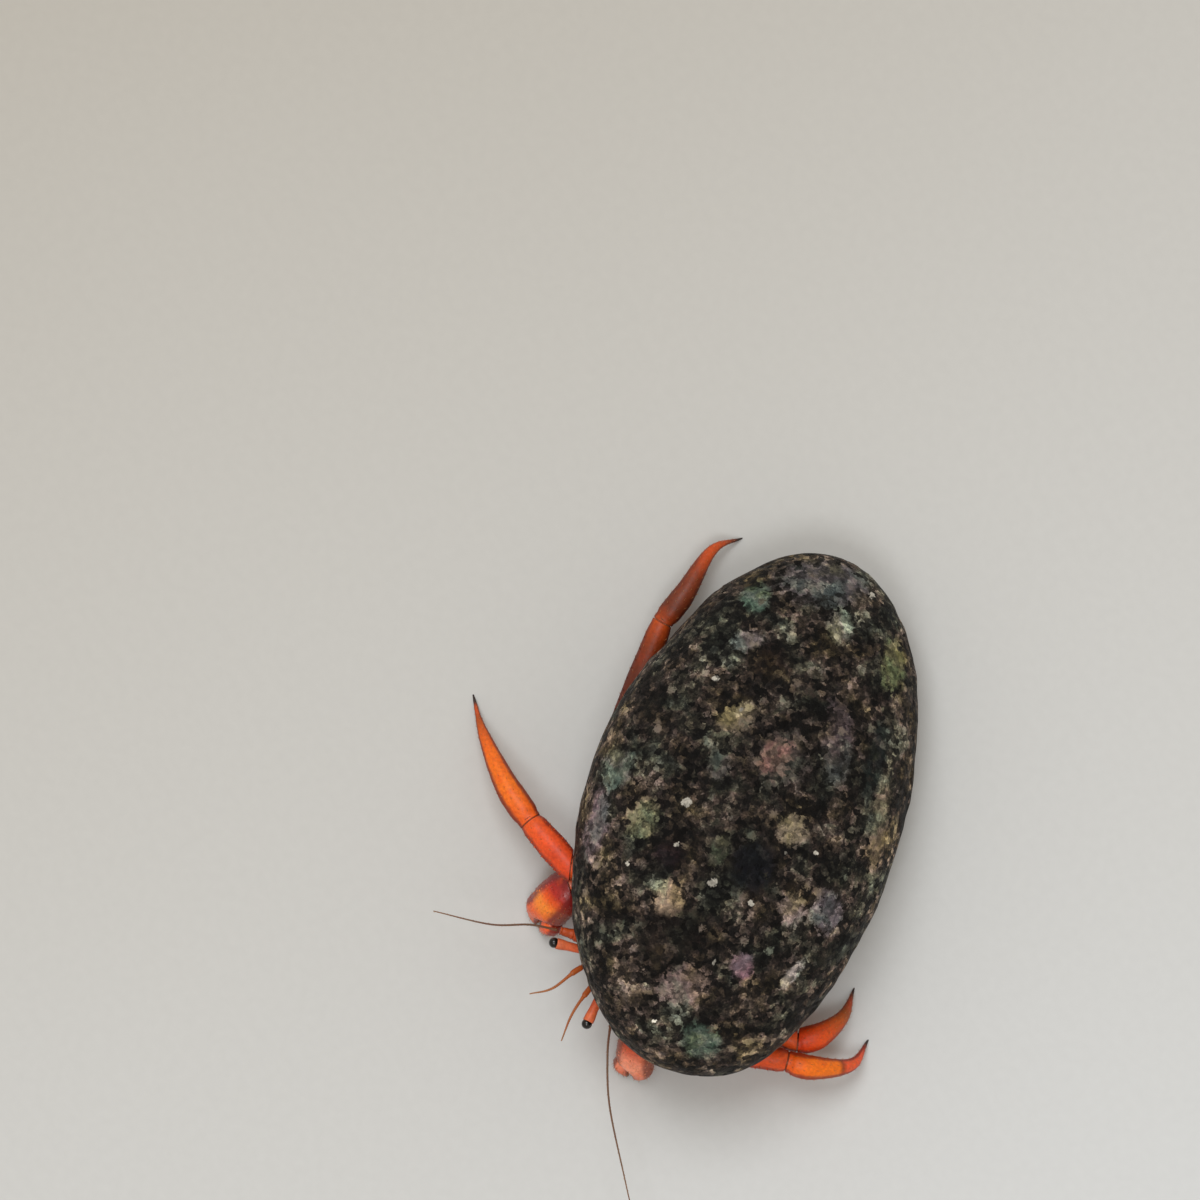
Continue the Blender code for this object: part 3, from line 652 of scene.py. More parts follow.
# the palest coral on the palm, about 0.42 to 0.6 along it, is partly its own coral and partly a painted
# highlight
LEFT_CLAW_CUTICLE = CalcifiedCuticle(
    "granular_claw_cuticle_coral_and_painted_highlight", along=(
        (0.0, "a82a10"), (0.2, "cc4824"), (0.42, "f89270"), (0.6, "fe9c78"), (0.8, "ea6c40"), (1.0, "a8481a"),
    ), mottle="e06636", margin="803008", margin_share=0.92, margin_from=0.56,
    grain=0.42, roughness=0.32, shine=0.45,
)
HEAD_CUTICLE = CalcifiedCuticle(
    "calcified_cuticle_head_russet", along=((0.0, "a43810"), (0.5, "ca521a"), (1.0, "b44a1a")),
    mottle="7e2a0e", margin="641c0c", margin_share=0.5,
)
STALK_CUTICLE = CalcifiedCuticle(
    "eyestalk_cuticle_coral", along=((0.0, "c2461e"), (0.6, "d86236"), (1.0, "d26a40")),
    margin_share=0.25, relief=0.00002,
)
FEELER_CUTICLE = CalcifiedCuticle(
    "ringed_feeler_cuticle_umber", along=((0.0, "70482e"), (0.2, "6a4e3a"), (0.6, "6a503c"), (1.0, "84684e")),
    mottle="6e4030", margin="5c3828", margin_share=0.3, relief=0.00001,
)
ANTENNULE_CUTICLE = CalcifiedCuticle(
    "ringed_antennule_cuticle_amber", along=((0.0, "b84a1a"), (0.5, "a8561e"), (1.0, "9a6c44")),
    mottle="9a4a20", margin="7c3820", margin_share=0.3, relief=0.00001,
)
JOINT_SKIN = SoftIntegument("joint_membrane_soft_skin", colour="8e4020", vein="6a2818")
BODY_SKIN = SoftIntegument("abdomen_soft_skin_peach")
CORNEA = FacetedCornea("faceted_cornea_black")
BRISTLES = BristleHorn("chitin_bristles_amber")
FLOOR = MattBoard("matt_board_pale_with_painted_falloff")


# --- shapes


class Route:
    """A smooth curve through its points, measured by length and straight past its ends."""

    def __init__(self, points: Iterable[Point]) -> None:
        """Lay the curve.

        Args:
            points: What the curve passes, in millimetres.
        """
        knots = [Vector(p) for p in points]
        knots = [2 * knots[0] - knots[1], *knots, 2 * knots[-1] - knots[-2]]
        self.track = [knots[1]]
        for a, b, c, d in zip(knots, knots[1:], knots[2:], knots[3:]):
            slope_in, slope_out = (c - a) / 2, (d - b) / 2
            for step in range(1, 13):
                t = step / 12
                self.track.append(
                    (2 * t**3 - 3 * t**2 + 1) * b + (t**3 - 2 * t**2 + t) * slope_in
                    + (3 * t**2 - 2 * t**3) * c + (t**3 - t**2) * slope_out
                )
        self.reached = [0.0]
        for before, after in zip(self.track, self.track[1:]):
            self.reached.append(self.reached[-1] + (after - before).length)

    @property
    def length(self) -> float:
        """The curve's length in millimetres."""
        return self.reached[-1]

    def point(self, share: float) -> Vector:
        """The point at that share of the length."""
        length = share * self.length
        span = next((n for n, far in enumerate(self.reached[1:-1]) if far >= length), len(self.track) - 2)
        part = (length - self.reached[span]) / (self.reached[span + 1] - self.reached[span])
        return self.track[span] + (self.track[span + 1] - self.track[span]) * part

    def along(self, share: float) -> Vector:
        """The direction of the curve at that share of the length."""
        return (self.point(share + 0.02) - self.point(share - 0.02)).normalized()


def between(table: Table, share: float) -> list[float]:
    """The values of a table's rows at a share, blended without corners at the rows.

    Args:
        table: Rows of a share and its values, in order.
        share: Where to read.

    Returns:
        The values there.
    """
    if share <= table[0][0]:
        return list(table[0][1:])
    for before, after in zip(table, table[1:]):
        if share <= after[0]:
            part = (share - before[0]) / (after[0] - before[0])
            eased = part + (part * part * (3 - 2 * part) - part) * 0.35
            return [a + (b - a) * eased for a, b in zip(before[1:], after[1:])]
    return list(table[-1][1:])


def bell(away: float, width: float) -> float:
    """A smooth bump: 1 in its middle, and nearly 0 past twice its width."""
    return math.exp(-((away / width) ** 2))


def pinch(turns: float, width: float) -> float:
    """A bell at every whole turn, as at the joints of a feeler."""
    part = turns % 1.0
    return bell(part if part < 0.5 else part - 1, width)


def crust(along: float, angle: float, scale: float) -> float:
    """A noise over a limb's skin, from a place along it and an angle round it."""
    return noise.noise(Vector((along, math.cos(angle) * scale, math.sin(angle) * scale)))


def facing(direction: Vector) -> Matrix:
    """The turn that points z in a direction."""
    return direction.to_track_quat("Z", "Y").to_matrix().to_4x4()


def marked_mesh() -> BMesh:
    """An empty mesh with the marks that a skin carries."""
    mesh = bmesh.new()
    for mark in MARKS:
        mesh.verts.layers.float.new(mark)
    return mesh


def mark_layers(skin: BMesh) -> list[bmesh.types.BMLayerItem]:
    """The layers that hold a skin's marks."""
    return [skin.verts.layers.float.get(mark) for mark in MARKS]


def ring_place(point: Vector, along: Vector, side: Vector, half_width: float, half_height: float) -> Matrix:
    """The matrix that lays a unit ring across a limb.

    Args:
        point: The ring's middle.
        along: The limb's direction.
        side: Roughly where the ring's x points.
        half_width: The ring's reach to the side.
        half_height: Its reach across that.

    Returns:
        The matrix.
    """
    across = (side - along * side.dot(along)).normalized()
    upward = along.cross(across)
    place = Matrix.Identity(4)
    for column, axis in enumerate((across * half_width, upward * half_height, along, point)):
        place.col[column].xyz = axis
    return place


def even(share: float, angle: float) -> float:
    """No relief at all."""
    return 1.0


@dataclass
class Tube:
    """A limb's skin: a ring at every share of its length, and how far it swells at each angle."""

    place: Callable[[float], Matrix]
    relief: Relief = even
    start: float = 0.0
    end: float = 1.0

    def point(self, share: float, angle: float) -> Vector:
        """The skin's point at a share of the length and an angle round it."""
        reach = self.relief(share, angle)
        return self.place(share) @ Vector((math.cos(angle) * reach, math.sin(angle) * reach, 0.0))

    def normal(self, share: float, angle: float) -> Vector:
        """The direction straight out of the skin.

        Args:
            share: Where along the limb.
            angle: Where round it.

        Returns:
            The direction, of length 1.
        """
        ahead = self.point(share + 0.01, angle) - self.point(share - 0.01, angle)
        around = self.point(share, angle + 0.05) - self.point(share, angle - 0.05)
        out = around.cross(ahead)
        outward = self.point(share, angle) - self.place(share).translation
        return (out if out.dot(outward) > 0 else -out).normalized()

    def foot(self, share: float, angle: float) -> tuple[Vector, Vector]:
        """Where something grows from the skin there, and the direction straight out."""
        return self.point(share, angle), self.normal(share, angle)

    def heading(self, share: float, step: float = 0.02) -> Vector:
        """The direction in which the limb's middle runs there."""
        return (self.place(share + step).translation - self.place(share).translation).normalized()

    def skin(self, rings: int, sides: int, horn_from: float = 2.0) -> BMesh:
        """The closed skin, with marks that its finish reads at every corner.

        Args:
            rings: How many rings, counting both ends.
            sides: Corners in each ring.
            horn_from: The share of the length past which the cuticle turns to dark horn.

        Returns:
            A new mesh in millimetres.
        """
        skin = marked_mesh()
        along, edge, tip = mark_layers(skin)
        shares = [self.start + (self.end - self.start) * n / (rings - 1) for n in range(rings)]
        places = [self.place(share) for share in shares]
        bmesh.ops.create_circle(skin, cap_ends=True, segments=sides, radius=1.0, matrix=places[0])
        rim, corners = skin.edges[:], skin.verts[:]
        loops = [corners]
        for before, after in zip(places, places[1:]):
            grown = bmesh.ops.extrude_edge_only(skin, edges=rim)["geom"]
            corners = [g for g in grown if isinstance(g, bmesh.types.BMVert)]
            fresh = set(corners)
            rim = [g for g in grown if isinstance(g, bmesh.types.BMEdge) and all(v in fresh for v in g.verts)]
            bmesh.ops.transform(skin, matrix=after @ before.inverted(), verts=corners)
            loops.append(corners)
        bmesh.ops.contextual_create(skin, geom=rim)
        for share, place, corners in zip(shares, places, loops):
            flat = place.inverted()
            for corner in corners:
                ring = flat @ corner.co
                angle = math.atan2(ring.y, ring.x)
                corner.co = place @ (ring * self.relief(share, angle))
                corner[along], corner[edge] = share, abs(ring.x)
                corner[tip] = min(max((share - horn_from) / HORN_BLEND, 0.0), 1.0)
        bmesh.ops.recalc_face_normals(skin, faces=skin.faces)
        return skin


def swept(
    route: Route, sizes: Table, side: Vector, relief: Relief = even, flat: float = 1.0,
    start: float = 0.0, end: float = 1.0,
) -> Tube:
    """A tube round a route.

    Args:
        route: The tube's middle.
        sizes: Shares of the length with the half width there, and the half height if it differs.
        side: Roughly where the half width reaches.
        relief: How far the skin swells at each share and angle.
        flat: What the half height is multiplied by.
        start: The share of the length where the tube starts.
        end: The share where it ends.

    Returns:
        The tube.
    """

    def place(share: float) -> Matrix:
        """The ring at a share of the length."""
        reach = between(sizes, share)
        return ring_place(route.point(share), route.along(share), side, reach[0], reach[-1] * flat)

    return Tube(place, relief, start, end)


def trim(skin: BMesh, point: Vector, outward: Vector, round_by: float = 0.0) -> None:
    """Cut away what lies past a plane, close the cut and round its rim.

    Args:
        skin: The closed mesh to cut.
        point: A point of the plane.
        outward: The side that goes.
        round_by: How far the new rim is rounded off, in millimetres.
    """
    everything = skin.verts[:] + skin.edges[:] + skin.faces[:]
    cut = bmesh.ops.bisect_plane(skin, geom=everything, plane_co=point, plane_no=outward, clear_outer=True)
    rim = [g for g in cut["geom_cut"] if isinstance(g, bmesh.types.BMEdge)]
    if not rim:
        return
    bmesh.ops.contextual_create(skin, geom=rim)
    if round_by:
        bmesh.ops.bevel(
            skin, geom=rim, offset=round_by, offset_type="OFFSET", segments=3, profile=0.5,
            affect="EDGES", material=-1, clamp_overlap=True,
        )


def join(target: BMesh, part: BMesh) -> None:
    """Add a mesh to another and free it.

    Args:
        target: The mesh that grows.
        part: What it gets.
    """
    spare = bpy.data.meshes.new("spare")
    part.to_mesh(spare)
    part.free()
    target.from_mesh(spare)
    bpy.data.meshes.remove(spare)


def grow_cone(
    skin: BMesh, root: Vector, direction: Vector, length: float, radius: float,
    sides: int = 6, horn: float = 1.0, along: float = 0.5,
) -> None:
    """Set a small spine on a skin.

    Args:
        skin: The mesh that gets it.
        root: The middle of its foot.
        direction: Where it points.
        length: Its length.
        radius: Its foot's radius.
        sides: Corners round it.
        horn: How dark and horny it is, from 0 to 1.
        along: The share of the limb's length that its ground colour is read at.
    """
    place = Matrix.Translation(root + direction * (length / 2 - radius * 0.4)) @ facing(direction)
    made = bmesh.ops.create_cone(
        skin, cap_ends=True, segments=sides, radius1=radius, radius2=radius * 0.14, depth=length, matrix=place
    )["verts"]
    ground, edge, tip = mark_layers(skin)
    for corner in made:
        corner[ground], corner[edge] = along, 0.3
        corner[tip] = horn * min(max((corner.co - root).dot(direction) / length + 0.35, 0.0), 1.0)


def grow_granule(
    skin: BMesh, root: Vector, out: Vector, radius: float, along: float, edge: float = 0.2
) -> None:
    """Set one low rounded granule on a skin.

    Args:
        skin: The mesh that gets it.
        root: Its middle, on the skin.
        out: The direction straight out of the skin.
        radius: Its radius.
        along: The share of the limb's length that its ground colour is read at.
        edge: How much of the margin's colour it takes, from 0 to 1.
    """
    place = Matrix.Translation(root) @ facing(out) @ Matrix.Diagonal((1.0, 1.0, 0.62, 1.0))
    made = bmesh.ops.create_icosphere(skin, subdivisions=1, radius=radius, matrix=place)["verts"]
    for corner in made:
        for layer, value in zip(mark_layers(skin), (along, edge, 0.0)):
            corner[layer] = value


class BristleCoat:
    """All the bristles of one region, gathered into one joined mesh with its own OFBake map."""

    PATCH = 0.003  # how far across one tuft is on the map

    def __init__(self, seed: int) -> None:
        """Start an empty coat.

        Args:
            seed: What its small irregularities are drawn from.
        """
        self.mesh = bmesh.new()
        self.along = self.mesh.verts.layers.float.new("along")
        self.map = self.mesh.loops.layers.uv.new("OFBake")
        self.chance = random.Random(seed)

    def tuft(
        self, root: Vector, out: Vector, lean: Vector, length: float, spot: tuple[float, float],
        count: int = 4, spread: float = 0.5, thickness: float = 0.028,
    ) -> None:
        """Grow a few bristles from one pit.

        Args:
            root: The pit, on the skin.
            out: The direction straight out of the skin.
            lean: Where the bristles lean, with how strongly.
            length: The longest bristle.
            spot: The root's place on the unwrapped skin, from 0 to 1 each way.
            count: How many bristles.
            spread: How far they fan out.
            thickness: Radius at the root.
        """
        for _ in range(count):
            drift = Vector([self.chance.uniform(-spread, spread) for _ in range(3)])
            direction = (out + lean + drift).normalized()
            reach = length * self.chance.uniform(0.6, 1.0)
            foot = root + drift * thickness - direction * thickness
            if (foot + direction * reach).z < FLOOR_CLEARANCE:
                continue
            made = bmesh.ops.create_cone(
                self.mesh, cap_ends=True, segments=3, depth=reach,
                radius1=thickness, radius2=thickness * 0.12,
                matrix=Matrix.Translation(foot + direction * reach / 2) @ facing(direction),
            )["verts"]
            u, v = spot[0] + self.chance.uniform(0, 0.0012), spot[1] + self.chance.uniform(0, 0.0008)
            for number, corner in enumerate(made):
                high = (corner.co - foot).dot(direction) / reach
                corner[self.along] = high
                for loop in corner.link_loops:
                    loop[self.map].uv = (u + 0.0006 * (number % 3), v + high * self.PATCH * 0.7)


def add_object(name: str, skin: BMesh) -> bpy.types.Object:
    """Make an object of a mesh, which is freed.

    Args:
        name: The object's name, and its mesh's.
        skin: The mesh.

    Returns:
        The object, linked to the scene.
    """
    mesh = bpy.data.meshes.new(name)
    skin.to_mesh(mesh)
    skin.free()
    made = bpy.data.objects.new(name, mesh)
    bpy.context.scene.collection.objects.link(made)
    return made


# --- sub-assemblies


@dataclass
class SubAssembly:
    """What every part of the animal shares: turning a finished mesh into a dressed piece."""

    def show(
        self, name: str, skin: BMesh, finish: Finish, slot: Slot, nodes: Sequence[str] = (),
        smooth: bool = True,
    ) -> None:
        """Turn a mesh to metres, dress it and hang it on the frame.

        Args:
            name: The piece's name.
            skin: The mesh in millimetres, which is freed.
            finish: What it is dressed in.
            slot: Not used.
            nodes: The frame's nodes that it stands for.
            smooth: Whether its faces are shaded smooth.
        """
        bmesh.ops.translate(skin, vec=BUILD_SHIFT, verts=skin.verts)
        bmesh.ops.scale(skin, vec=(MM, MM, MM), verts=skin.verts)
        piece = add_object(name, skin)
        if smooth:
            piece.data.shade_smooth()
        piece.data.materials.append(finish.material())
        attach(piece, "root")
        if nodes:
            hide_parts(*nodes)
        log.info("%s: %d faces, in %s", name, len(piece.data.polygons), finish.name)

    def replace(self, node: str, skin: BMesh, finish: Finish, slot: Slot = Slot.SHELL) -> None:
        """Show a mesh in place of the frame's node of that name."""
        self.show(f"{node}_finished", skin, finish, slot, [node])

    def show_coat(self, name: str, coat: BristleCoat) -> None:
        """Show a coat of bristles."""
        self.show(name, coat.mesh, BRISTLES, Slot.SHELL, smooth=False)


@dataclass
class Pebble(SubAssembly):
    """The egg-round pebble, hollowed underneath for the crab's body and bored for its abdomen."""

    length: float = 57.0
    width: float = 33.2
    above: float = 10.2  # its height over its widest level
    below: float = 8.8
    fullness: float = 2.25  # 2 is an ellipsoid, more is boxier
    bend: float = 1.1
    waves: Table = (  # bearing in degrees, change of radius as a share, spread in degrees
        (306, -0.045, 14), (288, -0.012, 12), (330, -0.022, 14), (150, 0.014, 14), (178, -0.018, 22),
    )
    yaw: float = math.radians(38.2)
    pitch: float = math.radians(9.0)
    centre_z: float = 9.56
    rooms: tuple = (  # middle and half size of each
        (Vector((4.0, -14.8, 2.6)), Vector((21.6, 12.5, 7.25))),
        (Vector((5.3, -14.5, 6.3)), Vector((7.6, 13.0, 4.6))),
    )
    room_fullness: float = 2.3
    bore_clearance: float = 0.5
    sharp: float = 0.7  # radians between two faces, past which their edge is a rim to be worn
    sole: float = 0.05  # up to this height the stone stands on the floor and keeps its flat
    bore_overrun: float = 0.125  # how far the bore runs past the coil's ends, as a share of its length

    @property
    def turn(self) -> Matrix:
        """The pebble's lean and its turn to the crab's right."""
        return Matrix.Rotation(-self.pitch, 4, "X") @ Matrix.Rotation(self.yaw, 4, "Z")

    def surface(self, direction: Vector) -> Vector:
        """Where the surface lies, before the pebble is turned.

        Args:
            direction: The way from the pebble's middle.

        Returns:
            The point, from the middle.
        """
        flat = math.hypot(direction.x, direction.y)
        reach = (flat**self.fullness + abs(direction.z) ** self.fullness) ** (-1 / self.fullness)
        x, y, z = direction * reach
        bearing = math.degrees(math.atan2(x, y))
        wave = 1.0
        for centre, change, spread in self.waves:
            away = (bearing - centre + 180) % 360 - 180
            wave += change * bell(away, spread) * flat**2
        height = self.above if z > 0 else self.below
        height *= 1 + 0.02 * math.sin(3.1 * y + 0.6) * math.cos(2.3 * x - 0.8)
        across = x * wave * self.width / 2 + self.bend * (y * y - 0.33)
        return Vector((across, y * wave * self.length / 2, z * height))

    def hollow_tools(self) -> list[bpy.types.Object]:
        """The cutting solids of the hollow.

        Returns:
            The two rooms and the bore.
        """
        tools = []
        for number, (middle, half) in enumerate(self.rooms):
            room = bmesh.new()
            bmesh.ops.create_icosphere(room, subdivisions=5, radius=1.0)
            for corner in room.verts:
                reach = sum(abs(c) ** self.room_fullness for c in corner.co) ** (-1 / self.room_fullness)
                corner.co = middle + half * (corner.co * reach)
            tools.append(add_object(f"room_{number}", room))
        body = AbdomenAndThorax()
        sizes = [(share, radius + self.bore_clearance) for share, radius in body.radius]
        past = self.bore_overrun
        bore = swept(Route(body.route), sizes, LEFTWARD, start=-past, end=1 + past)
        tools.append(add_object("bore", bore.skin(40, 32)))
        return tools

    def build(self) -> None:
        """Cut the hollow from the whole stone, wear its rim round and roughen every face."""
        stone = bmesh.new()
        bmesh.ops.create_icosphere(stone, subdivisions=7, radius=1.0)
        for corner in stone.verts:
            corner.co = self.surface(corner.co.normalized())
        seat = Matrix.Translation((0, 0, self.centre_z)) @ self.turn
        bmesh.ops.transform(stone, matrix=seat, verts=stone.verts)
        trim(stone, ORIGIN, DOWNWARD)
        blank = add_object("pebble_blank", stone)
        tools = self.hollow_tools()
        for tool in tools:
            cut = blank.modifiers.new(tool.name, "BOOLEAN")
            cut.operation, cut.solver, cut.object = "DIFFERENCE", "EXACT", tool
        graph = bpy.context.evaluated_depsgraph_get()
        cut_mesh = bpy.data.meshes.new_from_object(blank.evaluated_get(graph))
        worn = bmesh.new()
        worn.from_mesh(cut_mesh)
        for helper in (blank, *tools):
            bpy.data.objects.remove(helper)
        bmesh.ops.remove_doubles(worn, verts=worn.verts, dist=0.004)
        bmesh.ops.triangulate(worn, faces=worn.faces)
        self.wear(worn, seat)
        finish = StreamWornConglomerate(
            "stream_worn_conglomerate_dark_with_painted_light", centre=Vector((0, 0, self.centre_z)) + BUILD_SHIFT,
            turn=self.turn.to_euler(),
        )
        self.show("pebble", worn, finish, Slot.PEBBLE, ["pebble_shell"])

    def wear(self, worn: BMesh, seat: Matrix) -> None:
        """Round the rim of the hollow, and give the whole stone its shallow dents.

        Args:
            worn: The cut stone.
            seat: How it was turned and set down.
        """
        creased = (e for e in worn.edges if len(e.link_faces) == 2 and e.calc_face_angle(0) > self.sharp)
        near = {v for e in creased for v in e.verts if v.co.z > self.sole + 0.03}
        for _ in range(2):
            near |= {e.other_vert(v) for v in near for e in v.link_edges}
        near = [v for v in near if v.co.z > self.sole]
        for _ in range(5):
            bmesh.ops.smooth_vert(
                worn, verts=near, factor=0.5, use_axis_x=True, use_axis_y=True, use_axis_z=True
            )
        hollow = worn.verts.layers.float.new("hollow")
        back = seat.inverted()
        worn.normal_update()
        for corner in worn.verts:
            own = back @ corner.co
            inside = self.surface(own.normalized()).length - own.length
            corner[hollow] = min(max((inside - 0.1) / 0.8, 0.0), 1.0)
            if corner.co.z < self.sole:
                corner[hollow] = 0.0
                continue
            dent = noise.noise(own * 0.16) * 0.1 + noise.noise(own * 0.5) * 0.05 - 0.05
            pit = min(noise.noise(own * 0.95) + 0.38, 0.0) * 0.5
            chisel = noise.noise(own * 0.55) * 0.16 * corner[hollow]
            held = min(corner.co.z / 1.5, 1.0)
            corner.co += corner.normal * (dent + pit + chisel) * held


@dataclass
class AbdomenAndThorax(SubAssembly):
    """One soft skin from the carapace behind the shield to the narrow end of the coiled abdomen."""

    level: float = 7.05
    half_width: float = 3.8
    half_height: float = 2.3
    route: Table = (
        (5.2, -5.4, 6.75), (4.7, -3.2, 6.9), (1.9, 1.5, 7.4),
        (-3.2, 6.0, 7.7), (-8.0, 9.0, 7.3), (-12.2, 11.3, 6.8),
    )
    radius: Table = ((0.0, 3.0), (0.1, 3.25), (0.35, 3.05), (0.6, 2.6), (0.8, 2.15), (1.0, 1.6))
    depth: float = 0.06  # how far the skin lies inside the solids
    coil_from: float = 0.12  # the shares of the route between which the skin follows it
    coil_to: float = 0.836

    def stations(self) -> list[tuple[Vector, float, float]]:
        """The rings that the body's skin passes through.

        Returns:
            Middle, half width and half height of each, from front to back.
        """
        front = SHIELD_BACK + GAP
        wide, high, level = self.half_width, self.half_height, self.level
        rows = [
            (front, level, wide * 0.84, high * 0.88), (front + 0.9, level, wide * 0.97, high * 0.98),
            (front + 3.2, level, wide, high), (THORAX_BACK - 1.5, level - 0.1, wide * 0.9, high * 0.98),
            (THORAX_BACK - 0.2, level - 0.2, wide * 0.76, high * 0.98),
        ]
        found = [(Vector((MIDLINE, y, z)), w - self.depth, h - self.depth) for y, z, w, h in rows]
        coil = Route(self.route)
        for step in range(8):
            share = self.coil_from + (self.coil_to - self.coil_from) * step / 7
            (radius,) = between(self.radius, share)
            found.append((coil.point(share), radius - self.depth, radius - self.depth))
        return found

    def build(self) -> None:
        """Sweep the skin with its folds and show it in place of all the flesh."""
        rows = self.stations()
        spine = Route([row[0] for row in rows])
        spots = [0.0]
        for before, after in zip(rows, rows[1:]):
            spots.append(spots[-1] + (after[0] - before[0]).length)
        table = [(spot / spots[-1], row[1], row[2]) for spot, row in zip(spots, rows)]

        def folds(share: float, angle: float) -> float:
            """Rounded ends, the abdomen's segments and fine creases."""
            ends = min(share / 0.02, (1 - share) / 0.03, 1.0)
            closed = math.sqrt(max(1 - (1 - min(ends, 1.0)) ** 2, 0.02))
            segment = -0.045 * bell((share * 9.0) % 1.0 - 0.5, 0.1) if share > 0.3 else 0.0
            crease = crust(share * 60, angle, 1.3) * 0.018
            return closed * (0.985 + segment + crease)

        skin = swept(spine, table, LEFTWARD, folds).skin(150, 48)
        self.show(
            "thorax_and_abdomen", skin, BODY_SKIN, Slot.FLESH,
            ["thorax", "abdomen_front", "abdomen_middle", "abdomen_rear"],
        )
        self.build_tail_fan()

    def build_tail_fan(self) -> None:
        """The telson between two unequal uropods that brace the crab in its bore."""
        shape = ((0.855, 1.3, 1.3), (0.88, 1.75, 1.5), (0.93, 1.8, 1.2), (0.97, 1.5, 0.8), (1.0, 0.9, 0.4))

        def lobes(share: float, angle: float) -> float:
            """The cleft between telson and uropods, opening to the rear."""
            late = max((share - 0.9) / 0.1, 0.0)
            cleft = 0.28 * late * bell(math.cos(angle), 0.22)
            return 0.98 - cleft * 0.6 + 0.015 * math.cos(angle * 6)

        tube = swept(Route(self.route), shape, LEFTWARD, lobes, start=0.858)
        skin = tube.skin(26, 32)
        for row in range(9):
            for spot in range(7):
                share, angle = 0.9 + row * 0.008, math.pi * (0.1 + 0.14 * spot) + row * 0.07
                grow_granule(skin, *tube.foot(share, angle), 0.1, share)
        self.replace("tail_fan", skin, HEAD_CUTICLE)


@dataclass
class BodyShield(SubAssembly):
    """The hard front shield with its grooves, and the sternum between the legs."""

    half_width: float = 3.45
    level: float = 7.05
    half_height: float = 2.3
    sternum_level: float = 3.75
    sternum_half_width: float = 1.25
    sternum_half_height: float = 0.6

    def body_tube(self, rows: Table, relief: Relief) -> Tube:
        """A tube along y.

        Args:
            rows: y, level, half width and half height of each ring, from the front.
            relief: How far the skin swells at each share and angle.

        Returns:
            The tube.
        """
        start, end = rows[0][0], rows[-1][0]
        table = [((row[0] - start) / (end - start), *row[1:]) for row in rows]

        def place(share: float) -> Matrix:
            """The ring at a share of the length."""
            level, wide, high = between(table, share)
            point = Vector((MIDLINE, start + (end - start) * share, level))
            return ring_place(point, Vector((0, 1, 0)), LEFTWARD, wide, high)

        return Tube(place, relief)

    def build(self) -> None:
        """The shield with its cervical groove, front teeth and pits, then the sternum."""
        wide, high, level = self.half_width, self.half_height, self.level
        rows = (
            (SHIELD_FRONT, level + 0.15, wide * 0.42, high * 0.5),
            (SHIELD_FRONT + 0.5, level + 0.1, wide * 0.66, high * 0.74),
            (SHIELD_FRONT + 1.6, level, wide * 0.88, high * 0.93),
            (SHIELD_FRONT + 3.6, level, wide, high),
            (SHIELD_BACK - 0.8, level, wide * 0.98, high * 0.98),
            (SHIELD_BACK, level, wide * 0.9, high * 0.9),
        )

        def carve(share: float, angle: float) -> float:
            """The cervical groove, the grooves at the sides, a low hump and the skin's grain."""
            top = -math.sin(angle)
            groove_at = 0.72 - 0.22 * math.cos(angle) ** 2
            groove = -0.07 * bell(share - groove_at, 0.035) * max(top, 0.0)
            side_groove = -0.045 * bell(abs(math.cos(angle)) - 0.72, 0.07) * max(top, 0.0)
            hump = 0.025 * bell(share - 0.35, 0.2) * max(top, 0.0)
            grain = 0.008 * crust(share * 22, angle, 7)
            return 0.985 + groove + side_groove + hump + grain

        tube = self.body_tube(rows, carve)
        skin = tube.skin(60, 56)
        for angle, length in ((-math.pi / 2, 0.55), (-0.9, 0.4), (-math.pi + 0.9, 0.4)):
            root = tube.point(0.015, angle)
            grow_cone(skin, root, Vector((0, -1, 0.15)).normalized(), length, 0.22, 10, 0.25, 0.1)
        self.replace("head_shield", skin, HEAD_CUTICLE)
        coat, forward = BristleCoat(11), Vector((0, -0.9, 0))
        for number in range(90):
            share = (number * GOLDEN) % 1.0 * 0.88 + 0.06
            turn = 0.06 + 0.88 * ((number * 0.383) % 1.0)
            angle = -math.pi * turn
            spot = (0.05 + 0.9 * share, 0.05 + 0.9 * turn)
            coat.tuft(*tube.foot(share, angle), forward, 0.5, spot, 3)
        self.show_coat("shield_bristles", coat)

        wide, high, level = self.sternum_half_width, self.sternum_half_height, self.sternum_level
        rows = (
            (-17.6, level, wide * 0.55, high * 0.6), (-16.9, level, wide * 0.8, high),
            (-12.5, level, wide, high), (-8.6, level, wide * 0.95, high),
            (-7.9, level, wide * 0.6, high * 0.6),
        )

        def sutures(share: float, angle: float) -> float:
            """The seams between the sternum's plates, and the furrow along its middle."""
            seam = -0.12 * bell((share * 4.0) % 1.0 - 0.5, 0.09)
            keel = -0.08 * bell(math.cos(angle), 0.16)
            return 0.98 + seam + keel

        self.replace("sternum", self.body_tube(rows, sutures).skin(60, 32), HEAD_CUTICLE)


class Joint(NamedTuple):
    """Where two segments of a limb meet, or a limb's free end, which has no plane."""

    point: Vector
    normal: Vector | None = None  # of the plane between the segments, onward along the limb
    run: float = 0.0  # how far each segment's tube runs past the point, before it is trimmed


def between_planes(point: Vector, near: Joint, far: Joint, margin: float, far_margin: float) -> bool:
    """Whether a point stays on a segment once it is trimmed at both its joints.

    Args:
        point: The point.
        near: The joint at the segment's near end.
        far: The joint at its far end.
        margin: How far inside the near plane the point has to be.
        far_margin: How far inside the far plane.

    Returns:
        True where it stays.
    """
    if near.normal and (point - near.point).dot(near.normal) < margin:
        return False
    return not (far.normal and (far.point - point).dot(far.normal) < far_margin)


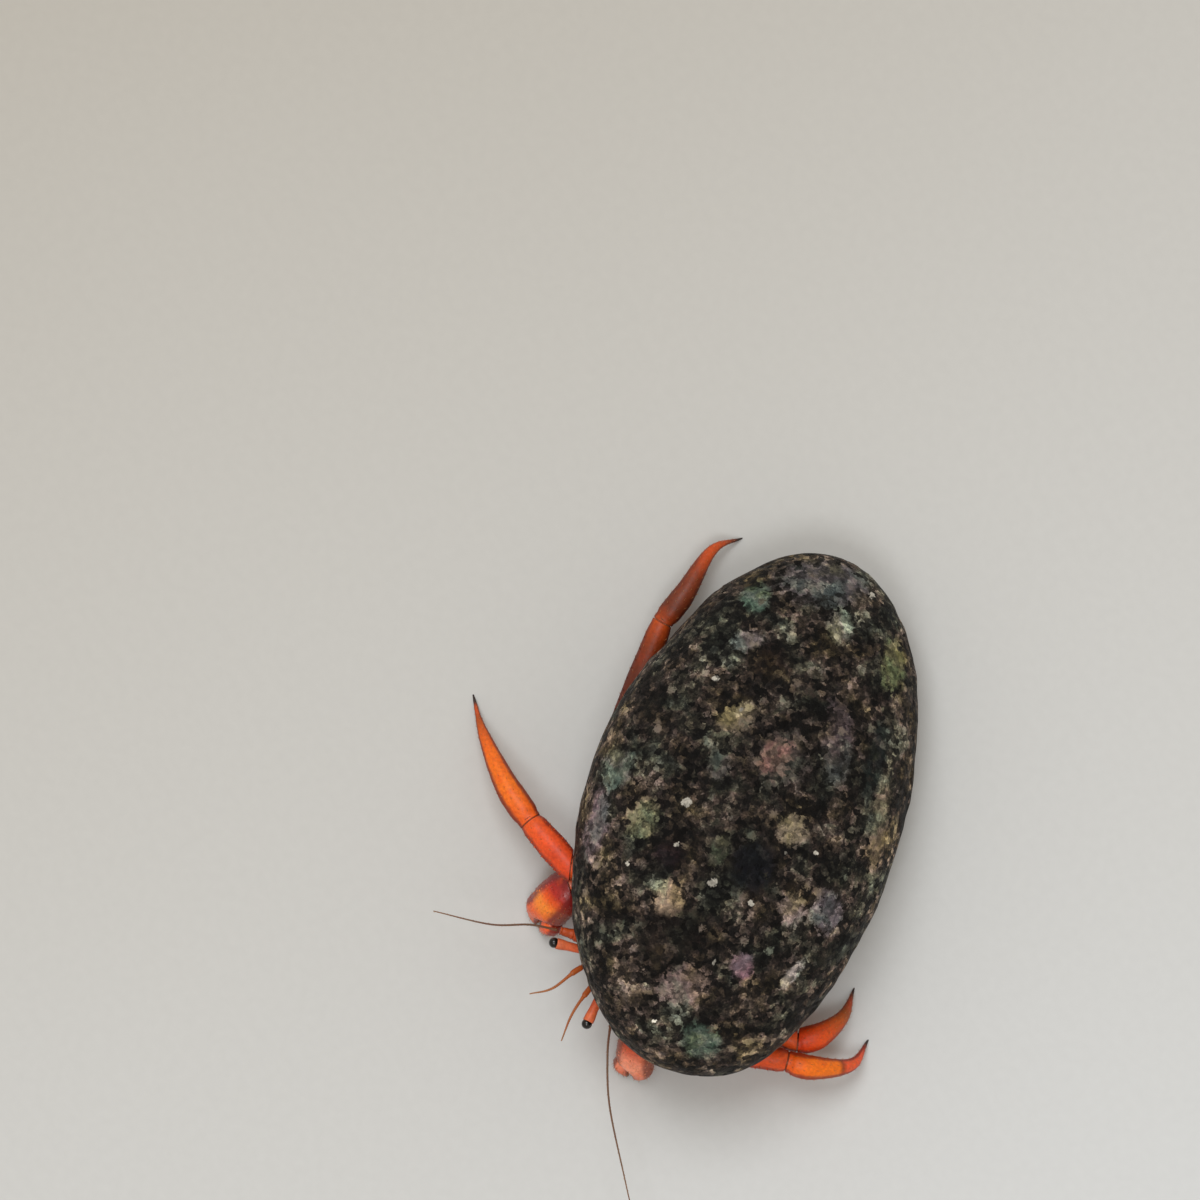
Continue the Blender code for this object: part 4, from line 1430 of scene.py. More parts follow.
@dataclass
class JointedLimb(SubAssembly):
    """What legs and claw arms share: hard segments, trimmed where they meet, over soft joints."""

    size: float = 1.0

    def joint(self, point: Vector, inward: Vector, onward: Vector) -> Joint:
        """The joint where a limb bends, with the plane that halves the bend.

        Args:
            point: The joint's middle.
            inward: The direction in which the limb reaches it.
            onward: The direction in which it goes on.

        Returns:
            The joint.
        """
        half_bend = inward.angle(onward) / 2
        return Joint(point, (inward + onward).normalized(), min(math.tan(half_bend), 1.2) * self.size)

    def meetings(self, routes: Sequence[Route]) -> list[Joint]:
        """Where the segments of a limb meet.

        Args:
            routes: The segments' middle lines.

        Returns:
            The limb's near end, then the joint between each route and the next.
        """
        ends = [Joint(routes[0].point(0.0))]
        for into, out_of in zip(routes, routes[1:]):
            ends.append(self.joint(into.point(1.0), into.along(1.0), out_of.along(0.0)))
        return ends

    def segment_tube(
        self, route: Route, shape: Table, half_width: float, half_height: float,
        near: Joint, far: Joint, relief: Relief,
    ) -> Tube:
        """The untrimmed tube of one segment.

        Args:
            route: The segment's middle line.
            shape: Shares of its length with the shares of half width and half height there.
            half_width: Its greatest reach sideways.
            half_height: Its greatest reach up and down.
            near: The joint at its near end.
            far: The joint at its far end.
            relief: How far the skin swells at each share and angle.

        Returns:
            The tube.
        """
        span = route.point(1.0) - route.point(0.0)
        length = span.length
        side = span.cross(-DOWNWARD).normalized()

        def place(share: float) -> Matrix:
            """The ring at a share of the tube, which runs past both joints."""
            wide, high = between(shape, share)
            wide, high = wide * half_width, high * half_height
            spot = -near.run / length + share * (1 + (near.run + far.run) / length)
            return ring_place(route.point(spot), route.along(spot), side, wide, high)

        return Tube(place, relief)

    def cut_joints(self, skin: BMesh, near: Joint, far: Joint, rounding: float) -> None:
        """Trim a segment to the planes of its joints, and to the floor.

        Args:
            skin: The segment.
            near: The joint at its near end.
            far: The joint at its far end.
            rounding: How far the cut rims are rounded off.
        """
        if near.normal:
            trim(skin, near.point + near.normal * GAP / 2, -near.normal, rounding)
        if far.normal:
            trim(skin, far.point - far.normal * GAP / 2, far.normal, rounding)
        trim(skin, ORIGIN, DOWNWARD)

    def membrane(self, inward: Vector, joint: Vector, onward: Vector, radius: float) -> BMesh:
        """The soft, pleated sock inside one joint.

        Args:
            inward: The direction in which the limb reaches the joint.
            joint: The joint's middle.
            onward: The direction in which it goes on.
            radius: The sock's radius.

        Returns:
            Its closed skin.
        """
        reach = radius * 0.75
        route = Route((joint - inward * reach, joint, joint + onward * reach))

        def pleats(share: float, angle: float) -> float:
            """Folds across the sock, which is fullest in its middle."""
            return (0.8 + 0.2 * math.sin(math.pi * share)) * (1 + 0.05 * math.cos(share * 26))

        side = inward.cross(-DOWNWARD).normalized()
        return swept(route, ((0.0, radius), (1.0, radius)), side, pleats).skin(25, 20)


BASE = ((0.0, 0.85, 0.85), (0.5, 1.0, 1.0), (1.0, 0.9, 0.9))
MERUS = ((0.0, 0.66, 0.66), (0.14, 0.84, 0.84), (0.5, 0.97, 1.0), (0.86, 1.0, 1.0), (1.0, 0.86, 0.86))
CARPUS = ((0.0, 0.66, 0.66), (0.25, 0.88, 0.88), (0.75, 1.0, 1.0), (1.0, 0.86, 0.86))
PROPODUS = ((0.0, 0.78, 0.76), (0.16, 0.97, 0.95), (0.5, 1.04, 1.0), (0.86, 0.95, 0.97), (1.0, 0.84, 0.84))
DACTYL = (
    (0.0, 0.86, 0.84), (0.1, 1.0, 1.0), (0.22, 0.99, 1.0), (0.34, 0.86, 0.9), (0.46, 0.74, 0.79),
    (0.57, 0.6, 0.66), (0.68, 0.47, 0.53), (0.78, 0.31, 0.37), (0.86, 0.19, 0.24), (0.94, 0.13, 0.16),
    (1.0, 0.06, 0.08),
)


@dataclass
class WalkingLeg(JointedLimb):
    """One of the four legs that show: base, merus, carpus, propodus and a long clawed dactyl."""

    name: str = "front_leg_right"
    joints: Table = ()
    dactyl: Table = ()
    seed: int = 1
    leg_finish: CalcifiedCuticle = LEG_CUTICLE
    dactyl_finish: CalcifiedCuticle = DACTYL_CUTICLE
    spines: int = 9
    sock_share: float = 0.84  # a joint's soft skin beside the segment before it
    fullness: float = 0.0  # how much wider the near half of the dactyl swells to either side
    segments: tuple = (
        ("base", BASE, 1.0, 0.95, 18), ("merus", MERUS, 1.2, 1.4, 30), ("carpus", CARPUS, 1.2, 1.3, 26),
        ("propodus", PROPODUS, 1.48, 1.28, 36), ("dactyl", DACTYL, 1.4, 1.2, 64),
    )

    def relief(self, kind: str) -> Relief:
        """How each kind of segment swells.

        Args:
            kind: The segment's name.

        Returns:
            What gives the swelling at a share of the length and an angle.
        """
        shift = self.seed * 3.7

        def swell(share: float, angle: float) -> float:
            """Ridges, collars, grooves and the shallow rugae."""
            top, flank = -math.sin(angle), abs(math.cos(angle))
            reach = 1.0 + 0.012 * crust(share * 16 + shift, angle, 2.6)
            if kind in ("merus", "carpus", "propodus"):
                collar = bell(share - 0.9, 0.035)
                waist = bell(share - 0.97, 0.02)
                rugae = abs(math.sin(share * 34 + math.cos(angle) * 1.5)) ** 6
                reach += 0.02 * collar - 0.03 * waist - 0.012 * rugae * max(top, 0.0)
                reach += 0.05 * max(top, 0.0) ** 10 - 0.03 * bell(top - 0.55, 0.18)
            elif kind == "dactyl":
                body = bell(share - 0.3, 0.4)
                reach += self.fullness * flank**2 * bell(share - 0.15, 0.3)
                reach += body * (0.045 * max(top, 0.0) ** 12 - 0.05 * bell(top - 0.5, 0.14))
                reach += body * (-0.05 * bell(top + 0.5, 0.14) + 0.02 * flank**6)
                reach -= 0.05 * bell(share - 0.045, 0.018)
            return reach

        return swell

    def build(self) -> None:
        """Every segment with its spines and bristles, then the soft joints between them."""
        routes = [Route(pair) for pair in zip(self.joints, self.joints[1:])]
        routes.append(Route((self.joints[-1], *self.dactyl)))
        ends = [*self.meetings(routes), Joint(routes[-1].point(1.0))]
        coat = BristleCoat(self.seed)
        for number, (kind, shape, half_width, half_height, rings) in enumerate(self.segments):
            near, far = ends[number], ends[number + 1]
            wide, high = half_width * self.size, half_height * self.size
            tube = self.segment_tube(routes[number], shape, wide, high, near, far, self.relief(kind))
            skin = tube.skin(rings, 28, 0.87 if kind == "dactyl" else 2.0)
            self.cut_joints(skin, near, far, 0.1 * self.size)
            if kind == "dactyl":
                self.dactyl_spines(skin, tube)
            if kind in ("carpus", "propodus"):
                self.crest(skin, tube, near, far)
            if kind != "base":
                self.fringe(coat, tube, kind, number, near, far)
            finish = self.dactyl_finish if kind == "dactyl" else self.leg_finish
            self.replace(f"{self.name}_{kind}", skin, finish)
        socks = marked_mesh()
        for segment, into, out_of in zip(self.segments, routes, routes[1:]):
            radius = min(segment[2:4]) * self.size * self.sock_share
            join(socks, self.membrane(into.along(1.0), out_of.point(0.0), out_of.along(0.0), radius))
        self.show(f"{self.name}_joint_skin", socks, JOINT_SKIN, Slot.FLESH)
        self.show_coat(f"{self.name}_bristles", coat)

    def dactyl_spines(self, skin: BMesh, tube: Tube) -> None:
        """The row of small corneous spines under the dactyl.

        Args:
            skin: The mesh that gets them.
            tube: The tube that they stand on.
        """
        for number in range(self.spines):
            share = 0.4 + 0.5 * number / self.spines
            for angle in (math.pi * 0.36, math.pi * 0.64):
                root = tube.point(share, angle)
                if root.z >= 0.6:
                    out = (tube.normal(share, angle) + tube.heading(share, 0.01) * 0.9).normalized()
                    grow_cone(skin, root, out, 0.3 * self.size, 0.07 * self.size, 6, 1.0, share)

    def crest(self, skin: BMesh, tube: Tube, near: Joint, far: Joint) -> None:
        """Low dark-tipped spines, in a straggling row along each side of the upper face.

        Args:
            skin: The mesh that gets them.
            tube: The tube that they stand on.
            near: The joint at the segment's near end.
            far: The joint at its far end.
        """
        for number in range(9):
            stray = noise.noise(Vector((number * 1.7, self.seed * 2.3, 0.4)))
            share = 0.16 + 0.68 * number / 8 + 0.04 * stray
            for angle in (-math.pi / 2 + 1.12 + 0.3 * stray, -math.pi / 2 - 1.2 - 0.3 * stray):
                root = tube.point(share, angle)
                if between_planes(root, near, far, 0.3, 0.3):
                    out = (tube.normal(share, angle) + tube.heading(share) * 0.7).normalized()
                    grow_cone(skin, root, out, 0.22 * self.size, 0.12 * self.size, 7, 0.85, share)

    def fringe(self, coat: BristleCoat, tube: Tube, kind: str, number: int, near: Joint, far: Joint) -> None:
        """Sparse tufts of short bristles in rows along the segment.

        Args:
            coat: The coat that gets them.
            tube: The tube that they stand on.
            kind: The segment's name.
            number: Its place in the leg, from 1.
            near: The joint at its near end.
            far: The joint at its far end.
        """
        rows = {"merus": 7, "carpus": 6, "propodus": 9, "dactyl": 22}[kind]
        for row in range(rows):
            share = (row + 0.5) / rows * 0.92
            for lane in range(6):
                angle = lane * math.tau / 6 + 0.5 * (row % 2) + 0.3
                root = tube.point(share, angle)
                if not between_planes(root, near, far, 0.15, 0.15) or root.z < 0.3:
                    continue
                lean = tube.heading(share) * 1.6
                thin = between(DACTYL, share)[0] if kind == "dactyl" else 1.0
                spot = (0.04 + 0.19 * (number - 1) + 0.17 * share, 0.05 + 0.9 * angle / (math.tau + 1.0))
                length = 0.42 * (0.5 + 0.5 * thin)
                coat.tuft(root, tube.normal(share, angle), lean, length, spot, 3, 0.35, 0.02)


LEGS = (
    WalkingLeg(
        name="front_leg_right", seed=1, size=1.0,
        joints=(
            (3.6, -13.2, 3.7), (1.3, -13.2, 3.9), (-4.9, -14.0, 7.0), (-4.9, -18.5, 7.6),
            (-11.25, -19.45, 5.8),
        ),
        dactyl=((-16.1, -19.5, 4.6), (-21.8, -18.65, 1.7), (-25.7, -17.4, 0.0)),
    ),
    WalkingLeg(
        name="rear_leg_right", seed=2, size=0.88,
        leg_finish=REAR_LEG_CUTICLE, dactyl_finish=REAR_DACTYL_CUTICLE,
        joints=((3.6, -9.8, 3.6), (1.5, -9.6, 3.7), (-7.0, -7.4, 4.4), (-13.7, -7.3, 3.1), (-21.3, 3.5, 4.1)),
        dactyl=((-22.5, 7.0, 4.3), (-24.75, 12.0, 2.6), (-24.1, 15.4, 0.0)),
    ),
    WalkingLeg(
        name="front_leg_left", seed=3, size=0.92, dactyl_finish=LEFT_DACTYL_CUTICLE,
        joints=(
            (7.0, -13.2, 3.7), (9.3, -13.2, 3.9), (15.0, -14.8, 6.4), (18.9, -16.1, 6.4), (24.3, -10.6, 6.1),
        ),
        dactyl=((26.3, -8.8, 5.9), (28.5, -5.2, 3.2), (27.55, -2.3, 0.0)),
    ),
    WalkingLeg(
        name="rear_leg_left", seed=4, size=0.88, dactyl_finish=LEFT_REAR_DACTYL_CUTICLE, fullness=0.14,
        joints=((7.0, -9.8, 3.6), (9.1, -9.6, 3.7), (14.4, -8.4, 4.8), (17.4, -12.3, 4.6), (23.3, -8.6, 5.0)),
        dactyl=((24.0, -6.2, 4.8), (23.8, -3.1, 2.7), (22.15, -0.55, 0.0)),
    ),
)

PALM = (
    (-0.2, 0.0, 0.6, 0.65), (0.0, 0.0, 0.78, 0.8), (0.14, 0.0, 0.95, 0.94), (0.3, 0.0, 1.04, 1.0),
    (0.44, 0.03, 1.05, 1.0), (0.54, 0.04, 1.04, 0.98), (0.62, 0.12, 0.99, 0.92), (0.7, 0.34, 0.78, 0.83),
    (0.8, 0.47, 0.56, 0.62), (0.9, 0.4, 0.37, 0.41), (0.97, 0.28, 0.2, 0.23), (1.0, 0.2, 0.08, 0.1),
)
FINGER = (
    (0.58, -0.46, 0.3, 0.46), (0.64, -0.5, 0.46, 0.62), (0.72, -0.54, 0.51, 0.64), (0.8, -0.54, 0.48, 0.57),
    (0.9, -0.43, 0.34, 0.38), (0.97, -0.28, 0.18, 0.21), (1.0, -0.2, 0.08, 0.1),
)


@dataclass
class ClawArm(JointedLimb):
    """One claw arm: three arm segments, a swollen granular palm with its fixed finger, and the thumb."""

    side: Side = Side.RIGHT
    joints: Table = ()
    tip: Point = ()
    half_width: float = 2.3
    half_depth: float = 1.95
    fixed_finger_side: Point = ()
    arch: float = 0.5
    granules: int = 150
    sock_share: float = 0.82  # a joint's soft skin beside the segment before it
    finish: CalcifiedCuticle = CLAW_CUTICLE
    segments: tuple = (("base", BASE, 1.0, 0.9), ("merus", MERUS, 1.3, 1.35), ("carpus", CARPUS, 1.55, 1.5))

    def build(self) -> None:
        """The arm, the palm and the movable finger, with their soft joints and bristles."""
        label = f"claw_{self.side.label}"
        elbow, wrist, tip = (Vector(point) for point in (*self.joints[-2:], self.tip))
        onward = (tip - wrist).normalized()
        routes = [Route(pair) for pair in zip(self.joints, self.joints[1:])]
        ends = [*self.meetings(routes), self.joint(wrist, routes[-1].along(1.0), onward)]
        headings = [*(route.along(0.0) for route in routes[1:]), onward]
        coat, socks = BristleCoat(20 + self.side.sign), marked_mesh()
        for number, (kind, shape, half_width, half_height) in enumerate(self.segments):
            near, far, route = ends[number], ends[number + 1], routes[number]
            tube = self.segment_tube(route, shape, half_width, half_height, near, far, self.arm_relief)
            skin = tube.skin(30, 28)
            self.cut_joints(skin, near, far, 0.12)
            if kind != "base":
                self.scatter(skin, tube, 50, (0.1, 0.9), near, far)
            self.replace(f"{label}_{kind}", skin, self.finish, Slot.CLAW)
            radius = half_height * self.sock_share
            join(socks, self.membrane(route.along(1.0), far.point, headings[number], radius))
        near = Joint(wrist, ((wrist - elbow).normalized() + onward).normalized())
        far = Joint(tip)
        for kind, shape, rings in (("palm", PALM, 70), ("finger", FINGER, 40)):
            tube = self.claw_tube(wrist, tip, shape, kind)
            skin = tube.skin(rings, 40, 0.9)
            self.cut_joints(skin, near, far, 0.15)
            spread = (0.03, 0.72) if kind == "palm" else (0.71, 0.85)
            self.scatter(skin, tube, self.granules if kind == "palm" else 26, spread, near, far)
            self.teeth(skin, tube, kind)
            self.fringe(coat, tube, kind)
            self.replace(f"{label}_{kind}", skin, self.finish, Slot.CLAW)
        self.show(f"{label}_joint_skin", socks, JOINT_SKIN, Slot.FLESH)
        self.show_coat(f"{label}_bristles", coat)

    def arm_relief(self, share: float, angle: float) -> float:
        """A gently uneven arm segment with a low collar at its far end."""
        return 1.0 + 0.02 * crust(share * 9, angle, 2.2) + 0.02 * bell(share - 0.9, 0.04)

    def claw_tube(self, wrist: Vector, tip: Vector, shape: Table, kind: str) -> Tube:
        """The tube of the palm with its fixed finger, or of the movable finger.

        Args:
            wrist: The wrist joint.
            tip: Where both fingers end.
            shape: Share of length, shift to the fixed finger's side, and shares of width and depth.
            kind: palm or finger.

        Returns:
            The tube.
        """
        along = (tip - wrist).normalized()
        side = Vector(self.fixed_finger_side)
        across = (side - along * side.dot(along)).normalized()
        outside = along.cross(across)
        if outside.z < 0:
            outside.negate()

        def place(share: float) -> Matrix:
            """The ring at a share of the way from the wrist to the tip."""
            shift, wide, deep = between(shape, share)
            arch = outside * self.arch * 4 * share * (1 - share)
            middle = wrist.lerp(tip, share) + across * shift * self.half_width + arch
            return ring_place(middle, along, across, wide * self.half_width, deep * self.half_depth)

        def swell(share: float, angle: float) -> float:
            """An uneven skin, scooped and toothed where the two fingers meet."""
            late = min(max((share - 0.6) / 0.15, 0.0), 1.0)
            inner = math.cos(angle) if kind == "finger" else -math.cos(angle)
            scoop = -0.1 * late * max(inner, 0.0) ** 2
            bite = 0.05 * late * max(inner, 0.0) ** 4 * math.sin(share * 130)
            return 1.0 + 0.016 * crust(share * 10, angle, 2.4) + scoop + bite

        return Tube(place, swell, start=shape[0][0], end=1.0)

    def scatter(
        self, skin: BMesh, tube: Tube, count: int, spread: tuple[float, float],
        near: Joint, far: Joint,
    ) -> None:
        """Low rounded granules over the upper and outer faces.

        Args:
            skin: The mesh that gets them.
            tube: The tube that they stand on.
            count: How many are tried.
            spread: The shares of the length that they lie between.
            near: The joint at the segment's near end.
            far: The joint at its far end.
        """
        chance = random.Random(count)
        for number in range(count):
            share = spread[0] + (spread[1] - spread[0]) * ((number * EVEN_ALONG) % 1.0)
            angle = math.tau * ((number * EVEN_ROUND) % 1.0) + chance.uniform(-0.12, 0.12)
            root, out = tube.foot(share, angle)
            if root.z >= 0.3 and between_planes(root, near, far, 0.3, 0.25):
                edge = abs(math.cos(angle)) * 0.75
                grow_granule(skin, root - out * 0.04, out, chance.uniform(0.1, 0.17), share, edge)

    def teeth(self, skin: BMesh, tube: Tube, kind: str) -> None:
        """Blunt teeth along the biting edge.

        Args:
            skin: The mesh that gets them.
            tube: The tube that they stand on.
            kind: palm or finger.
        """
        inner = 0.0 if kind == "finger" else math.pi
        for number in range(5):
            share = 0.73 + 0.045 * number
            root = tube.point(share, inner)
            grow_cone(skin, root, tube.normal(share, inner), 0.24 - 0.02 * number, 0.17, 8, 0.15, share)

    def fringe(self, coat: BristleCoat, tube: Tube, kind: str) -> None:
        """Tufts of short bristles, thickest along the fingers.

        Args:
            coat: The coat that gets them.
            tube: The tube that they stand on.
            kind: palm or finger, each with its own half of the coat's map.
        """
        palm = kind == "palm"
        low, high = (0.05, 0.95) if palm else (0.72, 0.95)
        foot, height = (0.02, 0.5) if palm else (0.6, 0.36)
        for number in range(70 if palm else 36):
            share = low + (high - low) * ((number * EVEN_ALONG) % 1.0)
            turn = (number * EVEN_ROUND + 0.31) % 1.0
            angle = math.tau * turn
            root = tube.point(share, angle)
            if root.z >= 0.35:
                out, spot = tube.normal(share, angle), (0.02 + 0.94 * share, foot + height * turn)
                coat.tuft(root, out, tube.heading(share) * 1.5, 0.42, spot, 3, 0.35, 0.02)


CLAW_ARMS = (
    ClawArm(
        side=Side.RIGHT, fixed_finger_side=(-0.9, -0.2, -0.4), tip=(-1.5, -25.0, 0.1),
        joints=((3.8, -16.7, 3.5), (2.4, -17.0, 3.5), (-1.3, -17.2, 4.4), (-3.55, -19.3, 5.1)),
    ),
    ClawArm(
        side=Side.LEFT, finish=LEFT_CLAW_CUTICLE, half_width=2.0, half_depth=1.75,
        fixed_finger_side=(0.85, 0.5, 0.0), tip=(17.15, -25.4, 0.1),
        joints=((6.8, -16.7, 3.5), (8.2, -17.0, 3.5), (11.2, -18.6, 4.6), (13.2, -21.5, 5.1)),
    ),
)


def limb_tube(route: Route, radii: Table, relief: Relief, flat: float = 1.0) -> Tube:
    """A round, tapering tube along a route.

    Args:
        route: The tube's middle.
        radii: Shares of the length with the radius there.
        relief: How far the skin swells at each share and angle.
        flat: How high it is beside its width.

    Returns:
        The tube.
    """
    side = (route.point(1.0) - route.point(0.0)).cross(-DOWNWARD).normalized()
    return swept(route, radii, side, relief, flat)


@dataclass
class HeadAppendages(SubAssembly):
    """Eyes on their stalks, antennules, antennae and the outer mouthparts of one side."""

    side: Side = Side.RIGHT
    stalk: Table = ()  # base, end, middle of the cornea
    antennule: Table = ()
    peduncle: Table = ()
    antenna: Table = ()
    stalk_radius: float = 0.5
    stalk_reach: float = 0.34  # how far the flared rim runs on to clasp the cornea
    cornea_radius: float = 0.55
    antennule_radius: Table = ((0.0, 0.36), (0.45, 0.3), (0.52, 0.2), (0.7, 0.17), (1.0, 0.08))
    peduncle_radius: Table = ((0.0, 0.62), (0.2, 0.78), (0.55, 0.7), (0.75, 0.5), (1.0, 0.46))
    antenna_radius: Table = ((0.0, 0.2), (0.05, 0.14), (0.4, 0.12), (1.0, 0.07))
    maxilliped: Table = ((-1.15, -18.4, 3.4), (-1.9, -20.5, 4.4), (-0.95, -22.5, 3.1))
    maxilliped_radius: Table = ((0.0, 0.6), (0.3, 0.75), (0.6, 0.6), (1.0, 0.32))

    def build(self) -> None:
        """Every appendage of this side."""
        self.build_eye()
        self.build_antennule()
        self.build_antenna()
        self.build_maxilliped()

    def build_eye(self) -> None:
        """The stalk, waisted under a flared rim, and the domed cornea on it."""
        base, end, cornea = (Vector(p) for p in self.stalk)
        onward = (end - base).normalized()
        route = Route((base, end + onward * self.stalk_reach))
        radius = self.stalk_radius
        radii = (
            (0.0, radius * 1.15), (0.15, radius * 1.04), (0.45, radius * 0.9), (0.75, radius * 0.98),
            (0.9, radius * 1.14), (1.0, radius * 1.12),
        )

        def swell(share: float, angle: float) -> float:
            """A slightly uneven stalk, whose rim isn't quite round."""
            lip = 0.05 * math.cos(angle * 2) * max(share - 0.85, 0.0) / 0.15
            return 1.0 + lip + 0.02 * crust(share * 6, angle, 1.5)

        skin = limb_tube(route, radii, swell).skin(40, 28)
        rim = [e for e in skin.edges if any(len(f.verts) > 4 for f in e.link_faces)]
        bmesh.ops.bevel(
            skin, geom=rim, offset=0.1, offset_type="OFFSET", segments=3, profile=0.5,
            affect="EDGES", material=-1,
        )
        label = self.side.label
        self.replace(f"eyestalk_{label}", skin, STALK_CUTICLE)
        eye = bmesh.new()
        bmesh.ops.create_icosphere(
            eye, subdivisions=5, radius=self.cornea_radius, matrix=Matrix.Translation(cornea - onward * 0.06)
        )
        trim(eye, end + onward * (self.stalk_reach - 0.12), -onward, 0.04)
        self.replace(f"eye_{label}", eye, CORNEA, Slot.CORNEA)

    def build_antennule(self) -> None:
        """Three peduncle segments and a ringed flagellum, with a comb of smelling hairs near its end."""
        route = Route(self.antennule)

        def swell(share: float, angle: float) -> float:
            """Three jointed segments, then the flagellum's rings."""
            if share < 0.47:
                turns = share / 0.47 * 3
                return 0.98 - 0.26 * pinch(turns, 0.07) + 0.04 * (turns % 1.0)
            return 0.8 + 0.1 * math.sin(share * 260)

        tube = limb_tube(route, self.antennule_radius, swell)
        label = self.side.label
        self.replace(f"antennule_{label}", tube.skin(180, 16), ANTENNULE_CUTICLE)
        coat = BristleCoat(40 + self.side.sign)
        for number in range(26):
            share = 0.7 + 0.28 * number / 25
            for angle in (math.pi * 0.42, math.pi * 0.58):
                spot = (0.05 + 0.9 * share, 0.3 + 0.2 * angle)
                coat.tuft(*tube.foot(share, angle), DOWNWARD * 0.2, 0.45, spot, 2, 0.15, 0.016)
        self.show_coat(f"antennule_{label}_hairs", coat)

    def build_antenna(self) -> None:
        """The jointed peduncle with its spiny scale, and the long ringed flagellum."""
        label = self.side.label
        route = Route(self.peduncle)

        def joints(share: float, angle: float) -> float:
            """The waists between the peduncle's segments."""
            return 0.99 - 0.16 * pinch(share * 3.0 + 0.15, 0.06)

        tube = limb_tube(route, self.peduncle_radius, joints, 0.95)
        skin = tube.skin(60, 24)
        along = route.along(0.5)
        outward = Vector((self.side.sign, -0.5, 0.1)).normalized()
        root = tube.place(0.35).translation + outward * 0.35
        grow_cone(skin, root, (along * 1.3 + outward * 0.5).normalized(), 1.5, 0.24, 12, 0.35, 0.4)
        self.replace(f"antenna_base_{label}", skin, HEAD_CUTICLE)
        whip = Route(self.antenna)
        rings = int(whip.length / 0.34)

        def annuli(share: float, angle: float) -> float:
            """The whip's rings."""
            return 0.8 + 0.13 * abs(math.sin(share * rings * math.pi)) ** 0.5

        lash = limb_tube(whip, self.antenna_radius, annuli)
        self.replace(f"antenna_{label}", lash.skin(rings * 5, 10), FEELER_CUTICLE)
        coat = BristleCoat(50 + self.side.sign)
        for number in range(rings):
            share = (number + 0.5) / rings
            angle = number * 2.4  # the golden angle
            spot = (0.03 + 0.94 * share, 0.1 + 0.8 * (number % 5) / 5)
            coat.tuft(*lash.foot(share, angle), whip.along(share), 0.22, spot, 2, 0.3, 0.012)
        self.show_coat(f"antenna_{label}_hairs", coat)

    def build_maxilliped(self) -> None:
        """The outer mouthpart, in three segments with a fringe along its inner edge."""
        sign, label = self.side.sign, self.side.label
        route = Route([(MIDLINE - sign * x, y, z) for x, y, z in self.maxilliped])

        def joints(share: float, angle: float) -> float:
            """The waists between its segments."""
            return 0.99 - (0.2 * pinch(share * 4.0, 0.07) if 0.1 < share < 0.95 else 0.0)

        tube = limb_tube(route, self.maxilliped_radius, joints)
        self.replace(f"maxilliped_{label}", tube.skin(70, 24), HEAD_CUTICLE)
        coat = BristleCoat(60 + sign)
        for number in range(60):
            share = 0.3 + 0.68 * number / 59
            angle = math.pi * (0.3 + 0.4 * ((number * GOLDEN) % 1.0))
            spot = (0.05 + 0.9 * share, 0.1 + 0.25 * angle)
            coat.tuft(*tube.foot(share, angle), route.along(share) * 0.8, 0.6, spot, 4, 0.4, 0.018)
        self.show_coat(f"maxilliped_{label}_fringe", coat)


HEADS = (
    HeadAppendages(
        side=Side.RIGHT, stalk=((4.3, -20.7, 8.5), (0.93, -23.78, 9.5), (0.46, -24.2, 9.62)),
        antennule=((4.75, -20.6, 6.7), (4.25, -23.7, 8.4), (4.4, -26.9, 9.5), (3.6, -29.2, 9.3)),
        peduncle=((2.7, -20.6, 6.8), (-0.1, -23.0, 7.4)),
        antenna=((-0.35, -23.25, 7.5), (-2.4, -25.3, 8.4), (-4.7, -28.7, 9.2), (-9.1, -32.9, 9.6)),
    ),
    HeadAppendages(
        side=Side.LEFT, stalk=((6.3, -20.8, 8.5), (9.15, -25.4, 9.35), (9.48, -25.96, 9.45)),
        antennule=((5.85, -20.6, 6.7), (6.7, -24.0, 8.4), (7.8, -26.7, 9.5), (9.5, -29.1, 9.4)),
        peduncle=((7.9, -20.8, 6.8), (10.7, -23.7, 7.4)),
        antenna=(
            (10.95, -23.95, 7.5), (13.4, -25.9, 8.2), (17.95, -28.6, 9.0), (24.9, -31.3, 9.2),
            (28.4, -32.6, 8.8),
        ),
    ),
)


